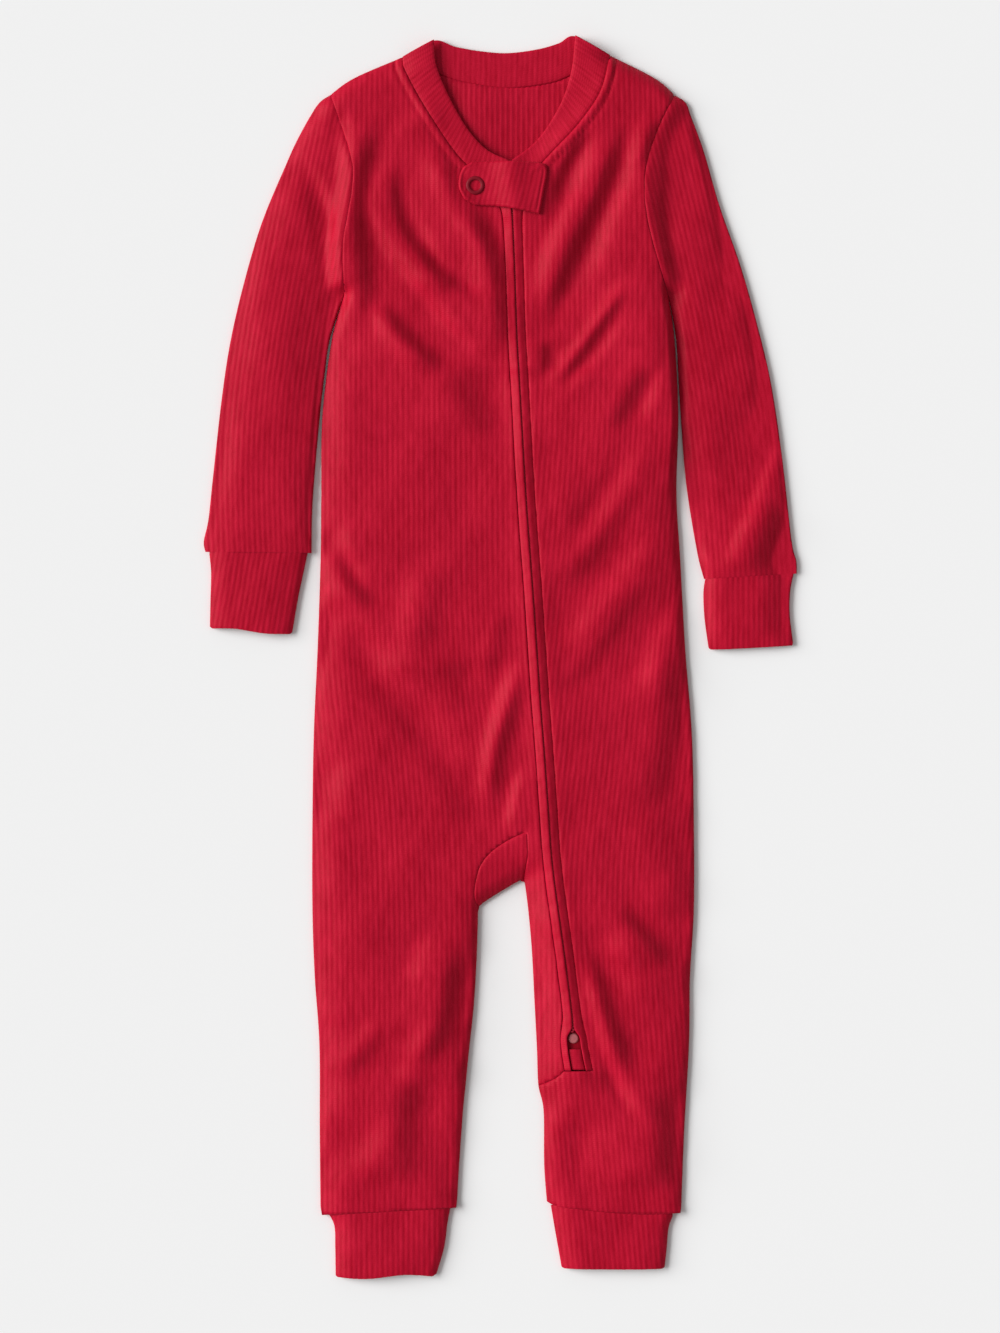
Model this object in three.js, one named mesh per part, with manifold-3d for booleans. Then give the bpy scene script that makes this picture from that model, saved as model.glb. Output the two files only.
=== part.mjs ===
// A onesie pajama for a one-year-old, of fine rib knit, laid flat on its back with the zip up.
// Millimetres: X runs to the viewer's right, which is the wearer's left, Y from the feet to the
// neck, and Z up from the surface below. Right and left in names are the wearer's. Each sewn piece
// is its own closed solid. A front piece is a wall over the back piece, with its ribs raised in
// the outer face, and sleeves and cuffs are flattened tubes that are open at both ends.
import * as THREE from 'three';
import { mergeVertices } from 'three/addons/utils/BufferGeometryUtils.js';
import Module from 'manifold-3d';

const wasm = await Module();
wasm.setup();

// The cloth
const CLOTH = 1.2;
const SEAM_GAP = 0.3;
const RIB_PITCH = 2.7;
const RIB_RELIEF = 0.36;
const CUFF_WALL = 1.7;

// How the laid cloth stands: its edge, the round over the edge, and the loft past it
const FRONT_FLOOR = CLOTH + SEAM_GAP;
const EDGE_TOP = FRONT_FLOOR + CLOTH;
const EDGE_ROUND = 9;
const BODY_LOFT = 2.7;
const SLEEVE_LOFT = 2.8;
const CUFF_EDGE = 3.4;
const CUFF_LOFT = 1.8;

// The inside of a wall: where its hollow starts to rise, over what width, how much of a ridge it
// follows, and its least height. Folds fade out over FOLD_FADE at a folded edge.
const INSIDE_START = 3;
const INSIDE_ROUND = 12;
const INSIDE_SHARE = 0.6;
const LEAST_HOLLOW = 0.25;
const FOLD_FADE = 7;

// The zip: folded bands beside the slit, the tape under them, and what is on it
const BAND_WIDTH = 3.5;
const BAND_THICK = 2.1;
const BAND_PROUD = 0.5;
const TAPE_THICK = 0.8;
const TAPE_INSET = 0.6;
const COIL = { foot: 0.95, top: 0.7, rise: 1.4, taper: 1.2, least: 0.05 };
const ZIP_RIDGE = 1.7;
const ZIP_SPREAD = 8;
const ZIP_STATION = 26;
const STOP = { y: -196.4, radius: 2.7, high: 2 };
const PATCH = { top: -202, bottom: -212.5, rise: 1.5 };
const SLIDER = { y: 237, wide: 5, long: 8.5, high: 1.9 };

// The collar band: how high its faces stand, how thick it is, and where its back ends lie, from
// which its front stretches rise
const COLLAR = {
  shoulderTop: 4.7, top: 5.9, front: 2.2, back: 1.9, roundOff: 0.5,
  backEnds: [[-42, 313.5], [49, 315]], riseFrom: 8, riseOver: 14,
};

// The snap tab and its ring
const TAB = {
  thick: 2, overCloth: 0.6, overZip: 1.1, zipSpread: 9, overCollar: 0.75,
  collarFrom: 235, collarOver: 6, insideStep: 4,
};
const SNAP = { x: -12, y: 243.3, outer: 4.85, inner: 2.9, high: 1 };

// How finely the faces follow the cloth
const FOLLOW = 1.1;
const LOOK_STEP = 1.5;
const LONGEST_FACE = 60;
const RIB_GROUP = 4;
const INSIDE_STEP = 12;

// Side edges of the body and of both legs
const SIDES = [
  { y: 188, right: -79.5, left: 87.5 },
  { y: 165, right: -86, left: 91 },
  { y: 125, right: -91, left: 93 },
  { y: 85, right: -91.6, left: 92 },
  { y: 50, right: -92, left: 94 },
  { y: 5, right: -93.5, left: 96.5 },
  { y: -40, right: -95.5, left: 100 },
  { y: -85, right: -96.2, left: 101 },
  { y: -130, right: -96.2, left: 101 },
  { y: -165, right: -95, left: 99 },
  { y: -200, right: -92.6, left: 98.5 },
  { y: -245, right: -92.4, left: 96 },
  { y: -284, right: -92, left: 94.5 },
];

// Inner edges of the legs
const INNER_LEGS = [
  { y: -129, right: -10.5, left: 15.2 },
  { y: -151, right: -11.1, left: 17.2 },
  { y: -178, right: -12.6, left: 18.6 },
  { y: -203, right: -15.2, left: 19.9 },
  { y: -221, right: -17, left: 20.6 },
  { y: -234, right: -18.3, left: 23.3 },
  { y: -262, right: -20.3, left: 23.6 },
  { y: -281, right: -21.4, left: 25 },
];

// The zip's middle line and half the width of its slit
const ZIP = [
  { y: 245, x: 6.2, slit: 3 },
  { y: 234, x: 6.8, slit: 3 },
  { y: 226, x: 7.2, slit: 1.5 },
  { y: 200, x: 8.3, slit: 1.2 },
  { y: 169, x: 9.3, slit: 1.2 },
  { y: 133, x: 11.3, slit: 1.2 },
  { y: 82, x: 14.2, slit: 1.2 },
  { y: 26, x: 18.3, slit: 1.2 },
  { y: -21, x: 21.4, slit: 1.2 },
  { y: -48, x: 23.5, slit: 1.2 },
  { y: -78, x: 25.6, slit: 1.2 },
  { y: -109, x: 28, slit: 1.2 },
  { y: -155, x: 34.2, slit: 1.2 },
  { y: -182, x: 37.6, slit: 1.3 },
  { y: -189, x: 38.2, slit: 2 },
  { y: -196, x: 38.6, slit: 3.3 },
  { y: -204, x: 39.6, slit: 3.6 },
  { y: -213, x: 41.3, slit: 3.8 },
];

// The largest folds of the body: a ridge has a rise above 0, a trough one below 0. Each runs from
// one place to another, bowed sideways in the middle, and half its width is given.
const BODY_FOLDS = [
  { from: [-46, 267], to: [-3, 198], bow: 2, half: 7, rise: 3.6 },
  { from: [-22, 254], to: [2, 200], bow: 0, half: 5, rise: -2 },
  { from: [-60, 270], to: [1, 156], bow: -19, half: 7, rise: 3.2 },
  { from: [-56, 258], to: [-1, 165], bow: -9, half: 5, rise: -1.8 },
  { from: [-38, 225], to: [-20, 195], bow: 0, half: 4, rise: 1.4 },
  { from: [-69, 184], to: [-35, 151], bow: 0, half: 7, rise: 2.2 },
  { from: [-73, 277], to: [-74, 226], bow: 0, half: 4, rise: 1.5 },
  { from: [-84, 208], to: [-87, 100], bow: 0, half: 5, rise: 1.4 },
  { from: [-84, 74], to: [-64, 40], bow: -4, half: 5, rise: 2.4 },
  { from: [-85, 55], to: [-63, 23], bow: -3, half: 5, rise: -1.4 },
  { from: [-82, 32], to: [-50, -20], bow: -3, half: 7, rise: 3 },
  { from: [-78, -5], to: [-51, -33], bow: 0, half: 7, rise: -1.6 },
  { from: [-52, 44], to: [-25, 69], bow: 0, half: 8, rise: 1.2 },
  { from: [-2, 20], to: [-14, -17], bow: 0, half: 6, rise: 2.2 },
  { from: [10, -4], to: [-4, -88], bow: -6, half: 5.5, rise: 4.2 },
  { from: [13, -50], to: [4, -91], bow: 0, half: 4, rise: 1.8 },
  { from: [59, 284], to: [20, 170], bow: 2, half: 8, rise: 3.8 },
  { from: [66, 262], to: [46, 198], bow: 0, half: 4, rise: -1.4 },
  { from: [77, 283], to: [54, 195], bow: 0, half: 6, rise: 2.8 },
  { from: [65, 197], to: [19, 141], bow: 0, half: 7, rise: 3 },
  { from: [63, 173], to: [30, 143], bow: 0, half: 5, rise: 1.8 },
  { from: [82, 152], to: [69, 110], bow: 0, half: 6, rise: 1.8 },
  { from: [71, 114], to: [34, 47], bow: 1, half: 7, rise: 2.6 },
  { from: [69, 66], to: [45, 21], bow: 0, half: 7, rise: 2.2 },
  { from: [63, 33], to: [29, -15], bow: 0, half: 7, rise: 2.4 },
  { from: [88, 36], to: [64, 9], bow: 0, half: 6, rise: 1.8 },
  { from: [82, 9], to: [69, -28], bow: 0, half: 6, rise: 2.2 },
  { from: [91, 10], to: [83, -78], bow: 0, half: 5, rise: -1.3 },
  { from: [-34, -138], to: [-58, -262], bow: -3, half: 9, rise: 2.4 },
  { from: [-23, -160], to: [-38, -268], bow: 3, half: 5, rise: -1.6 },
  { from: [-60, -178], to: [-80, -212], bow: 0, half: 6, rise: 1.8 },
  { from: [-57, -190], to: [-77, -221], bow: 0, half: 4, rise: -1.3 },
  { from: [-58, -242], to: [-82, -255], bow: 0, half: 5, rise: 1.4 },
  { from: [43, -144], to: [76, -230], bow: -3, half: 5.5, rise: 4 },
  { from: [52, -152], to: [70, -212], bow: -2, half: 4, rise: -1.6 },
  { from: [45, -121], to: [64, -151], bow: 0, half: 5, rise: 2 },
  { from: [60, -133], to: [90, -164], bow: 0, half: 5, rise: -1.4 },
];
const SLEEVE_FOLDS = [
  { from: [-100, 262], to: [-84, 180], bow: 5, half: 5, rise: 2 },
  { from: [-93, 232], to: [-92, 182], bow: 0, half: 4, rise: -1.5 },
  { from: [-112, 236], to: [-128, 170], bow: 0, half: 8, rise: 1.2 },
  { from: [112, 214], to: [114, 106], bow: 0, half: 8, rise: 1.4 },
  { from: [98, 244], to: [100, 178], bow: 0, half: 5, rise: -1.4 },
];

// How far the ribs drift to the viewer's right between one level and the next one below it
const RIB_DRIFT = {
  right: [
    { y: 325, x: 0 }, { y: 80, x: 0 }, { y: 0, x: 2 }, { y: -110, x: 11 }, { y: -325, x: 12 },
  ],
  left: [
    { y: 325, x: 0 }, { y: 150, x: 2 }, { y: 60, x: -3 }, { y: -40, x: -12 },
    { y: -120, x: -19 }, { y: -200, x: -15 }, { y: -325, x: -4 },
  ],
  sleeveRight: [{ y: 300, x: 0 }, { y: 130, x: -30 }, { y: 0, x: -27 }],
  sleeveLeft: [{ y: 300, x: 0 }, { y: 180, x: 27 }, { y: 100, x: 40 }, { y: 0, x: 47 }],
  cuffRight: [{ y: 60, x: 0 }, { y: 0, x: -10 }],
  legCuffLeft: [{ y: -270, x: 0 }, { y: -325, x: 5 }],
  tab: [{ y: 265, x: 0 }, { y: 220, x: -10 }],
  straight: [{ y: 325, x: 0 }, { y: -325, x: 0 }],
};

const smoothstep = (t) => {
  const s = Math.min(1, Math.max(0, t));
  return s * s * (3 - 2 * s);
};

// A value of a table at a level, smooth between its rows, which run down the body
function level(table, key, y) {
  const last = table.length - 1;
  let i = 0;
  while (i < last - 1 && table[i + 1].y > y) i++;
  const near = (k) => table[Math.min(last, Math.max(0, k))];
  const [p, a, b, n] = [near(i - 1), near(i), near(i + 1), near(i + 2)];
  const t = Math.min(1, Math.max(0, (y - a.y) / (b.y - a.y)));
  const span = b.y - a.y;
  const slopeA = a === p ? (b[key] - a[key]) / span : (b[key] - p[key]) / (b.y - p.y);
  const slopeB = b === n ? (b[key] - a[key]) / span : (n[key] - a[key]) / (n.y - a.y);
  const t2 = t * t;
  const t3 = t2 * t;
  return (2 * t3 - 3 * t2 + 1) * a[key] + (t3 - 2 * t2 + t) * span * slopeA
    + (3 * t2 - 2 * t3) * b[key] + (t3 - t2) * span * slopeB;
}

// A smooth line through places, given as [x, y]
function line(places, between = 2) {
  const curve = new THREE.SplineCurve(places.map(([x, y]) => new THREE.Vector2(x, y)));
  return curve.getPoints(between * (places.length - 1)).map((p) => [p.x, p.y]);
}

const tableLine = (table, key) => line(table.map((row) => [row[key], row.y]), 2);
const backwards = (points) => [...points].reverse();

// Seams and edges of the laid garment, as lines of [x, y] from the neck down
const sideRight = tableLine(SIDES, 'right');
const sideLeft = tableLine(SIDES, 'left');
const innerRight = tableLine(INNER_LEGS, 'right');
const innerLeft = tableLine([{ y: -114, left: 13.2 }, ...INNER_LEGS], 'left');
const crotch = line([[13.2, -114], [2.8, -120], [-6, -125.5], [-10.5, -129]], 2);
const shoulderRight = line([[-49.3, 310.4], [-74.6, 299.5], [-86.9, 290.8]]);
const shoulderLeft = line([[57.4, 311.2], [80.8, 299.4], [91.1, 290.6]]);
const armholeRight = line([
  [-86.9, 290.8], [-80, 271], [-75.2, 253], [-76.2, 237], [-80.2, 213], [-79.5, 188],
]);
const armholeLeft = line([
  [91.1, 290.6], [83.3, 275], [77, 257], [75.2, 241], [78, 220], [87.5, 188],
]);
const neckRight = line([
  [-49.3, 310.4], [-47.8, 302], [-35.5, 280], [-20.5, 258.5], [-9, 249.5], [6.2, 245.2],
]);
const neckLeft = line([
  [57.4, 311.2], [52.6, 292.2], [41.5, 275.5], [28, 261], [18, 251], [6.2, 245.2],
]);
const neckOpenRight = line([
  [-33.5, 318.8], [-32.3, 306], [-26.3, 291], [-16.5, 273.5], [-6, 262], [6.2, 256],
]);
const neckOpenLeft = line([
  [39.8, 321], [38, 304], [33.6, 289], [26, 275], [17.5, 264.5], [6.2, 256],
]);
const backNeck = line([
  [-49.3, 310.4], [-30.2, 301.5], [-13, 296.6], [5, 294.6], [24.5, 296.8], [36, 300.5], [57.4, 311.2],
]);
const backCollarTop = line([
  [-49.3, 310.4], [-33.5, 318.8], [-22, 315.5], [-8, 313.1], [5, 312.3], [20, 314.2], [31, 317.3],
  [39.8, 321], [57.4, 311.2],
]);
const hemRight = [[-91.2, -288], [-21.8, -284.2]];
const hemLeft = line([[25.4, -281.5], [34, -284], [70, -287.4], [94, -287]], 2);
const gussetTop = line([
  [-10.5, -129], [-12.4, -122], [-10.3, -109.7], [-4.9, -101.4], [4, -94.8], [14.7, -89.6],
]);
const gussetSide = [[14.7, -89.6], [15.2, -102], [13.2, -114]];
const tongueSeam = line([[33.8, -213.4], [30.5, -216.4], [26, -219], [20.6, -221.2]], 2);

const zipX = (y) => level(ZIP, 'x', y);
const zipSlit = (y) => level(ZIP, 'slit', y);
const panelSide = (side) => ZIP.map((row) => [row.x + side * (row.slit + BAND_WIDTH + SEAM_GAP), row.y]);

// The nearest distance from a place to a set of lines
function distanceTo(lines, x, y) {
  let best = Infinity;
  for (const points of lines) {
    for (let i = 1; i < points.length; i++) {
      const [ax, ay] = points[i - 1];
      const [dx, dy] = [points[i][0] - ax, points[i][1] - ay];
      const t = Math.min(1, Math.max(0, ((x - ax) * dx + (y - ay) * dy) / (dx * dx + dy * dy)));
      best = Math.min(best, Math.hypot(ax + t * dx - x, ay + t * dy - y));
    }
  }
  return best;
}

function isInside(outline, x, y) {
  let inside = false;
  for (let i = 0, j = outline.length - 1; i < outline.length; j = i++) {
    const [ax, ay] = outline[i];
    const [bx, by] = outline[j];
    if (ay > y !== by > y && x < ((bx - ax) * (y - ay)) / (by - ay) + ax) inside = !inside;
  }
  return inside;
}

// The sum of the folds at a place
function folds(table, x, y) {
  let sum = 0;
  for (const { from, to, bow, half, rise } of table) {
    const [dx, dy] = [to[0] - from[0], to[1] - from[1]];
    const long = Math.hypot(dx, dy);
    const along = ((x - from[0]) * dx + (y - from[1]) * dy) / (long * long);
    const aside = ((y - from[1]) * dx - (x - from[0]) * dy) / long - bow * 4 * along * (1 - along);
    const fade = smoothstep((along + 0.12) / 0.3) * smoothstep((1.12 - along) / 0.3);
    if (fade > 0 && Math.abs(aside) < 3 * half) sum += rise * fade * Math.exp(-((aside / half) ** 2));
  }
  return sum;
}

const bodyOutline = [
  ...backwards(shoulderRight), ...backNeck.slice(1, -1), ...shoulderLeft, ...armholeLeft.slice(1),
  ...sideLeft.slice(1), ...backwards(hemLeft), ...backwards(innerLeft), ...crotch.slice(1),
  ...innerRight.slice(1), ...backwards(hemRight), ...backwards(sideRight),
  ...backwards(armholeRight).slice(1, -1),
];
const bodyEdges = [shoulderRight, shoulderLeft, sideRight, sideLeft, innerLeft, innerRight, crotch];

// The rise of cloth over a folded edge, at a distance in from it
function overEdge(loft, inward) {
  const t = Math.min(1, Math.max(0, inward / EDGE_ROUND));
  return loft * Math.sqrt(1 - (1 - t) ** 2);
}

const underEdge = (loft, inward) => loft * smoothstep((inward - INSIDE_START) / INSIDE_ROUND);

function zipRidge(x, y) {
  const ends = smoothstep((y + 232) / 30) * smoothstep((290 - y) / 30);
  return ZIP_RIDGE * ends * Math.exp(-(((x - zipX(y)) / ZIP_SPREAD) ** 2));
}

// Where the cloth counts as inside its folded edges: it reaches past its neck, armholes and hems
const pastNeck = [[-30, 330], [40, 330]];
const pastArmLeft = [[140, 262], [140, 200]];
const pastArmRight = [[-140, 200], [-140, 262]];
const pastHemLeft = [[95, -300], [26, -300]];
const pastHemRight = [[-22, -300], [-92, -300]];
const bodyReach = [
  ...backwards(shoulderRight), ...pastNeck, ...shoulderLeft, ...pastArmLeft, ...sideLeft,
  ...pastHemLeft, ...backwards(innerLeft), ...crotch.slice(1), ...innerRight.slice(1),
  ...pastHemRight, ...backwards(sideRight), ...pastArmRight,
];

const bodyInward = (x, y) => (isInside(bodyReach, x, y) ? 1 : -1) * distanceTo(bodyEdges, x, y);

function bodyFolds(x, y, inward) {
  return folds(BODY_FOLDS, x, y) * smoothstep(inward / FOLD_FADE) + zipRidge(x, y);
}

function bodyTop(x, y) {
  const inward = bodyInward(x, y);
  return Math.max(EDGE_TOP, EDGE_TOP + overEdge(BODY_LOFT, inward) + bodyFolds(x, y, inward));
}

// The inside of a front panel, which follows the folds in part, so that the wall stays under 3 mm
function bodyUnder(x, y) {
  const inward = bodyInward(x, y);
  const rise = bodyFolds(x, y, inward);
  const followed = rise > 0 ? rise * INSIDE_SHARE : rise;
  return Math.max(FRONT_FLOOR, FRONT_FLOOR + underEdge(BODY_LOFT, inward) + followed);
}

// The levels that a few neighbouring columns need, as places in their lists of points
function levelsFor(columns, error) {
  const last = columns[0].length - 1;
  const keep = new Set([0, last]);
  const todo = [[0, last]];
  while (todo.length) {
    const [a, b] = todo.pop();
    let worst = 0;
    let at = (a + b) >> 1;
    for (const points of columns) {
      for (let i = a + 1; i < b; i++) {
        const t = (points[i].y - points[a].y) / (points[b].y - points[a].y);
        const off = Math.hypot(
          points[a].x + t * (points[b].x - points[a].x) - points[i].x,
          points[a].z + t * (points[b].z - points[a].z) - points[i].z,
        );
        if (off > worst) [worst, at] = [off, i];
      }
    }
    if (b - a > 1 && (worst > error || columns[0][b].y - columns[0][a].y > LONGEST_FACE)) {
      if (worst <= error) at = (a + b) >> 1;
      keep.add(at);
      todo.push([a, at], [at, b]);
    }
  }
  return keep;
}

function solid(vertices, triangles) {
  return new wasm.Manifold(new wasm.Mesh({
    numProp: 3,
    vertProperties: new Float32Array(vertices.flat()),
    triVerts: new Uint32Array(triangles.flat()),
  }));
}

// A closed sheet of cloth over a rectangle: columns run along the ribs, one on each crest and one
// in each valley of the outer face, and wider ones over the plain inside.
function sheet({ x0, x1, y0, y1, drift, top, under, relief = RIB_RELIEF, step = INSIDE_STEP }) {
  const vertices = [];
  const triangles = [];
  const half = relief ? RIB_PITCH / 2 : step;
  const columnCount = Math.ceil((x1 - x0) / half);
  const insideCount = Math.max(1, Math.ceil((x1 - x0) / step));
  const rows = Math.ceil((y1 - y0) / LOOK_STEP);

  // Columns in groups that share their levels, so that the ribs of a group run on cleanly
  function columns(count, together, height) {
    const all = [];
    for (let first = 0; first <= count; first += together) {
      const group = [];
      for (let i = first; i < first + together && i <= count; i++) {
        const points = [];
        for (let k = 0; k <= rows; k++) {
          const y = y0 + ((y1 - y0) * k) / rows;
          const x = x0 + ((x1 - x0) * i) / count + level(drift, 'x', y);
          points.push({ x, y, z: height(x, y, i) });
        }
        group.push(points);
      }
      const keep = levelsFor([group[0], group[group.length >> 1], group.at(-1)], FOLLOW);
      for (const points of group) {
        all.push(points.filter((_, k) => keep.has(k)).map((p) => {
          vertices.push([p.x, p.y, p.z]);
          return { at: p.y, index: vertices.length - 1 };
        }));
      }
    }
    return all;
  }

  function join(a, b) {
    for (let i = 0, j = 0; i < a.length - 1 || j < b.length - 1;) {
      const stepA = i < a.length - 1 && (j === b.length - 1 || a[i + 1].at <= b[j + 1].at);
      triangles.push([a[i].index, b[j].index, stepA ? a[i + 1].index : b[j + 1].index]);
      if (stepA) i++;
      else j++;
    }
  }

  const rib = (i) => (i % 2 ? 0.5 : -0.5) * relief;
  const outer = columns(columnCount, RIB_GROUP, (x, y, i) => top(x, y) + rib(i));
  const inner = columns(insideCount, 1, under);
  for (let i = 1; i < outer.length; i++) join(outer[i - 1], outer[i]);
  for (let i = inner.length - 1; i > 0; i--) join(inner[i], inner[i - 1]);
  const row = (across, end) => across.map((c, i) => ({
    at: i / (across.length - 1),
    index: (end ? c.at(-1) : c[0]).index,
  }));
  join(inner[0], outer[0]);
  join(outer[outer.length - 1], inner[inner.length - 1]);
  join(row(outer, false), row(inner, false));
  join(row(inner, true), row(outer, true));
  return solid(vertices, triangles);
}

// An upright block of an outline, to cut sheets with
function block(outline, low = -5, high = 40) {
  const shape = new THREE.Shape(outline.map(([x, y]) => new THREE.Vector2(x, y)));
  const geometry = new THREE.ExtrudeGeometry(shape, { depth: high - low, bevelEnabled: false });
  geometry.translate(0, 0, low);
  return fromGeometry(geometry);
}

function fromGeometry(geometry) {
  const bare = geometry.index ? geometry.toNonIndexed() : geometry.clone();
  bare.deleteAttribute('normal');
  bare.deleteAttribute('uv');
  const merged = mergeVertices(bare, 1e-4);
  return new wasm.Manifold(new wasm.Mesh({
    numProp: 3,
    vertProperties: new Float32Array(merged.attributes.position.array),
    triVerts: new Uint32Array(merged.index.array),
  }));
}

// The outline moved in by a distance all round
function inset(outline, distance) {
  const area = outline.reduce((sum, [x, y], i) => {
    const [nx, ny] = outline[(i + 1) % outline.length];
    return sum + x * ny - nx * y;
  }, 0);
  const turn = Math.sign(area);
  return outline.map(([x, y], i) => {
    const [px, py] = outline[(i + outline.length - 1) % outline.length];
    const [nx, ny] = outline[(i + 1) % outline.length];
    const before = new THREE.Vector2(x - px, y - py).normalize();
    const after = new THREE.Vector2(nx - x, ny - y).normalize();
    const way = before.clone().add(after).normalize();
    const lean = Math.max(0.35, Math.abs(way.dot(before)));
    return [x - (turn * way.y * distance) / lean, y + (turn * way.x * distance) / lean];
  });
}

// Drops places that repeat the one before
function closed(...lines) {
  const all = lines.flat();
  return all.filter(([x, y], i) => {
    const [px, py] = all[(i + all.length - 1) % all.length];
    return Math.hypot(x - px, y - py) > 0.05;
  });
}

const bounds = (outline) => ({
  x0: Math.min(...outline.map((p) => p[0])),
  x1: Math.max(...outline.map((p) => p[0])),
  y0: Math.min(...outline.map((p) => p[1])) - 1,
  y1: Math.max(...outline.map((p) => p[1])) + 1,
});

// A piece cut from a sheet that covers its outline
function cutPiece(outline, { drift = RIB_DRIFT.straight, ...form }) {
  const cut = inset(outline, SEAM_GAP / 2);
  const box = bounds(cut);
  const drifts = drift.map((row) => row.x);
  const cover = sheet({
    ...box, x0: box.x0 - Math.max(...drifts) - 1, x1: box.x1 - Math.min(...drifts) + 1, drift, ...form,
  });
  return cover.intersect(block(cut));
}

// A ring of places for each station of a band, closed at both ends
function sweep(rings) {
  const vertices = rings.flat();
  const sides = rings[0].length;
  const triangles = [];
  for (let i = 1; i < rings.length; i++) {
    for (let j = 0; j < sides; j++) {
      const [a, b] = [(i - 1) * sides + j, (i - 1) * sides + ((j + 1) % sides)];
      triangles.push([a, b, b + sides], [a, b + sides, a + sides]);
    }
  }
  const last = (rings.length - 1) * sides;
  for (let j = 1; j < sides - 1; j++) {
    triangles.push([0, j + 1, j], [last, last + j, last + j + 1]);
  }
  const corner = (i) => new THREE.Vector3(...vertices[i]);
  const volume = triangles.reduce((sum, [a, b, c]) => sum + corner(a).dot(corner(b).cross(corner(c))), 0);
  return solid(vertices, volume < 0 ? triangles.map(backwards) : triangles);
}

const pajama = new THREE.Group();

function add(name, shape, { colour = '#b01630', roughness = 0.9, metalness = 0 } = {}) {
  const { vertProperties, triVerts } = shape.getMesh();
  const geometry = new THREE.BufferGeometry();
  geometry.setAttribute('position', new THREE.BufferAttribute(new Float32Array(vertProperties), 3));
  geometry.setIndex(new THREE.BufferAttribute(new Uint32Array(triVerts), 1));
  const flat = geometry.toNonIndexed();
  flat.computeVertexNormals();
  const mesh = new THREE.Mesh(flat, new THREE.MeshStandardMaterial({ color: colour, roughness, metalness }));
  mesh.name = name;
  pajama.add(mesh);
}

// Front panels
const zipRightSide = panelSide(-1);
const zipLeftSide = panelSide(1);
const frontRightOutline = closed(
  shoulderRight, armholeRight, sideRight, hemRight, backwards(innerRight), gussetTop, gussetSide,
  innerLeft.filter(([, y]) => y > -221), backwards(tongueSeam), backwards(zipRightSide),
  backwards(neckRight),
);
const zipCorner = [48.9, -213.3];
const frontLeftOutline = closed(
  shoulderLeft, armholeLeft, sideLeft, backwards(hemLeft),
  backwards(innerLeft.filter(([, y]) => y < -221.3)), backwards(tongueSeam), [zipCorner],
  backwards(zipLeftSide), backwards(neckLeft),
);
const frontForm = { top: bodyTop, under: bodyUnder };
add('front_right', cutPiece(frontRightOutline, { ...frontForm, drift: RIB_DRIFT.right }));
add('front_left', cutPiece(frontLeftOutline, { ...frontForm, drift: RIB_DRIFT.left }));
add('crotch_gusset', cutPiece(closed(gussetTop, gussetSide, crotch), frontForm));

// Back panel, which lies flat on the surface
const flatForm = { under: () => 0, relief: 0, step: 120 };
add('back_panel', cutPiece(closed(bodyOutline), { ...flatForm, top: () => CLOTH }));

// A line moved to the left of its way by a distance
function aside(points, distance) {
  return points.map(([x, y], i) => {
    const [ax, ay] = points[Math.max(0, i - 1)];
    const [bx, by] = points[Math.min(points.length - 1, i + 1)];
    const long = Math.hypot(bx - ax, by - ay);
    return [x - ((by - ay) / long) * distance, y + ((bx - ax) / long) * distance];
  });
}

// A line made longer at both ends
function longer(points, by) {
  const past = ([ax, ay], [bx, by_]) => {
    const t = by / Math.hypot(ax - bx, ay - by_);
    return [ax + (ax - bx) * t, ay + (ay - by_) * t];
  };
  return [past(points[0], points[1]), ...points, past(points.at(-1), points.at(-2))];
}

// A flattened tube of cloth that is open at both ends. Its outer and inner edges run from the upper
// end to the lower one, and its hollow runs on past both, by way of the places in past.
function tube({ outer, inner, upperEnd, lowerEnd, past = [], side, wall, edge, loft, table = [], drift }) {
  const reach = closed(longer(outer, 9), backwards(longer(inner, 9)), past);
  const inward = (x, y) => (isInside(reach, x, y) ? 1 : -1) * distanceTo([outer, inner], x, y);
  const rise = (x, y, d) => folds(table, x, y) * smoothstep(d / FOLD_FADE);
  const top = (x, y) => {
    const d = inward(x, y);
    return edge + overEdge(loft, d) + rise(x, y, d);
  };
  const ceiling = (x, y) => {
    const d = inward(x, y);
    const fold = rise(x, y, d);
    const followed = fold > 0 ? fold * INSIDE_SHARE : fold;
    return Math.max(wall + LEAST_HOLLOW, edge - wall + underEdge(loft, d) + followed);
  };
  const outline = closed(outer, lowerEnd, backwards(inner), backwards(upperEnd));
  const hollowOutline = closed(
    longer(aside(outer, side * wall), 7), backwards(longer(aside(inner, -side * wall), 7)), past,
  );
  const whole = cutPiece(outline, { drift, top, under: () => 0 });
  return whole.subtract(cutPiece(hollowOutline, { drift, top: ceiling, under: () => wall, relief: 0 }));
}

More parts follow.
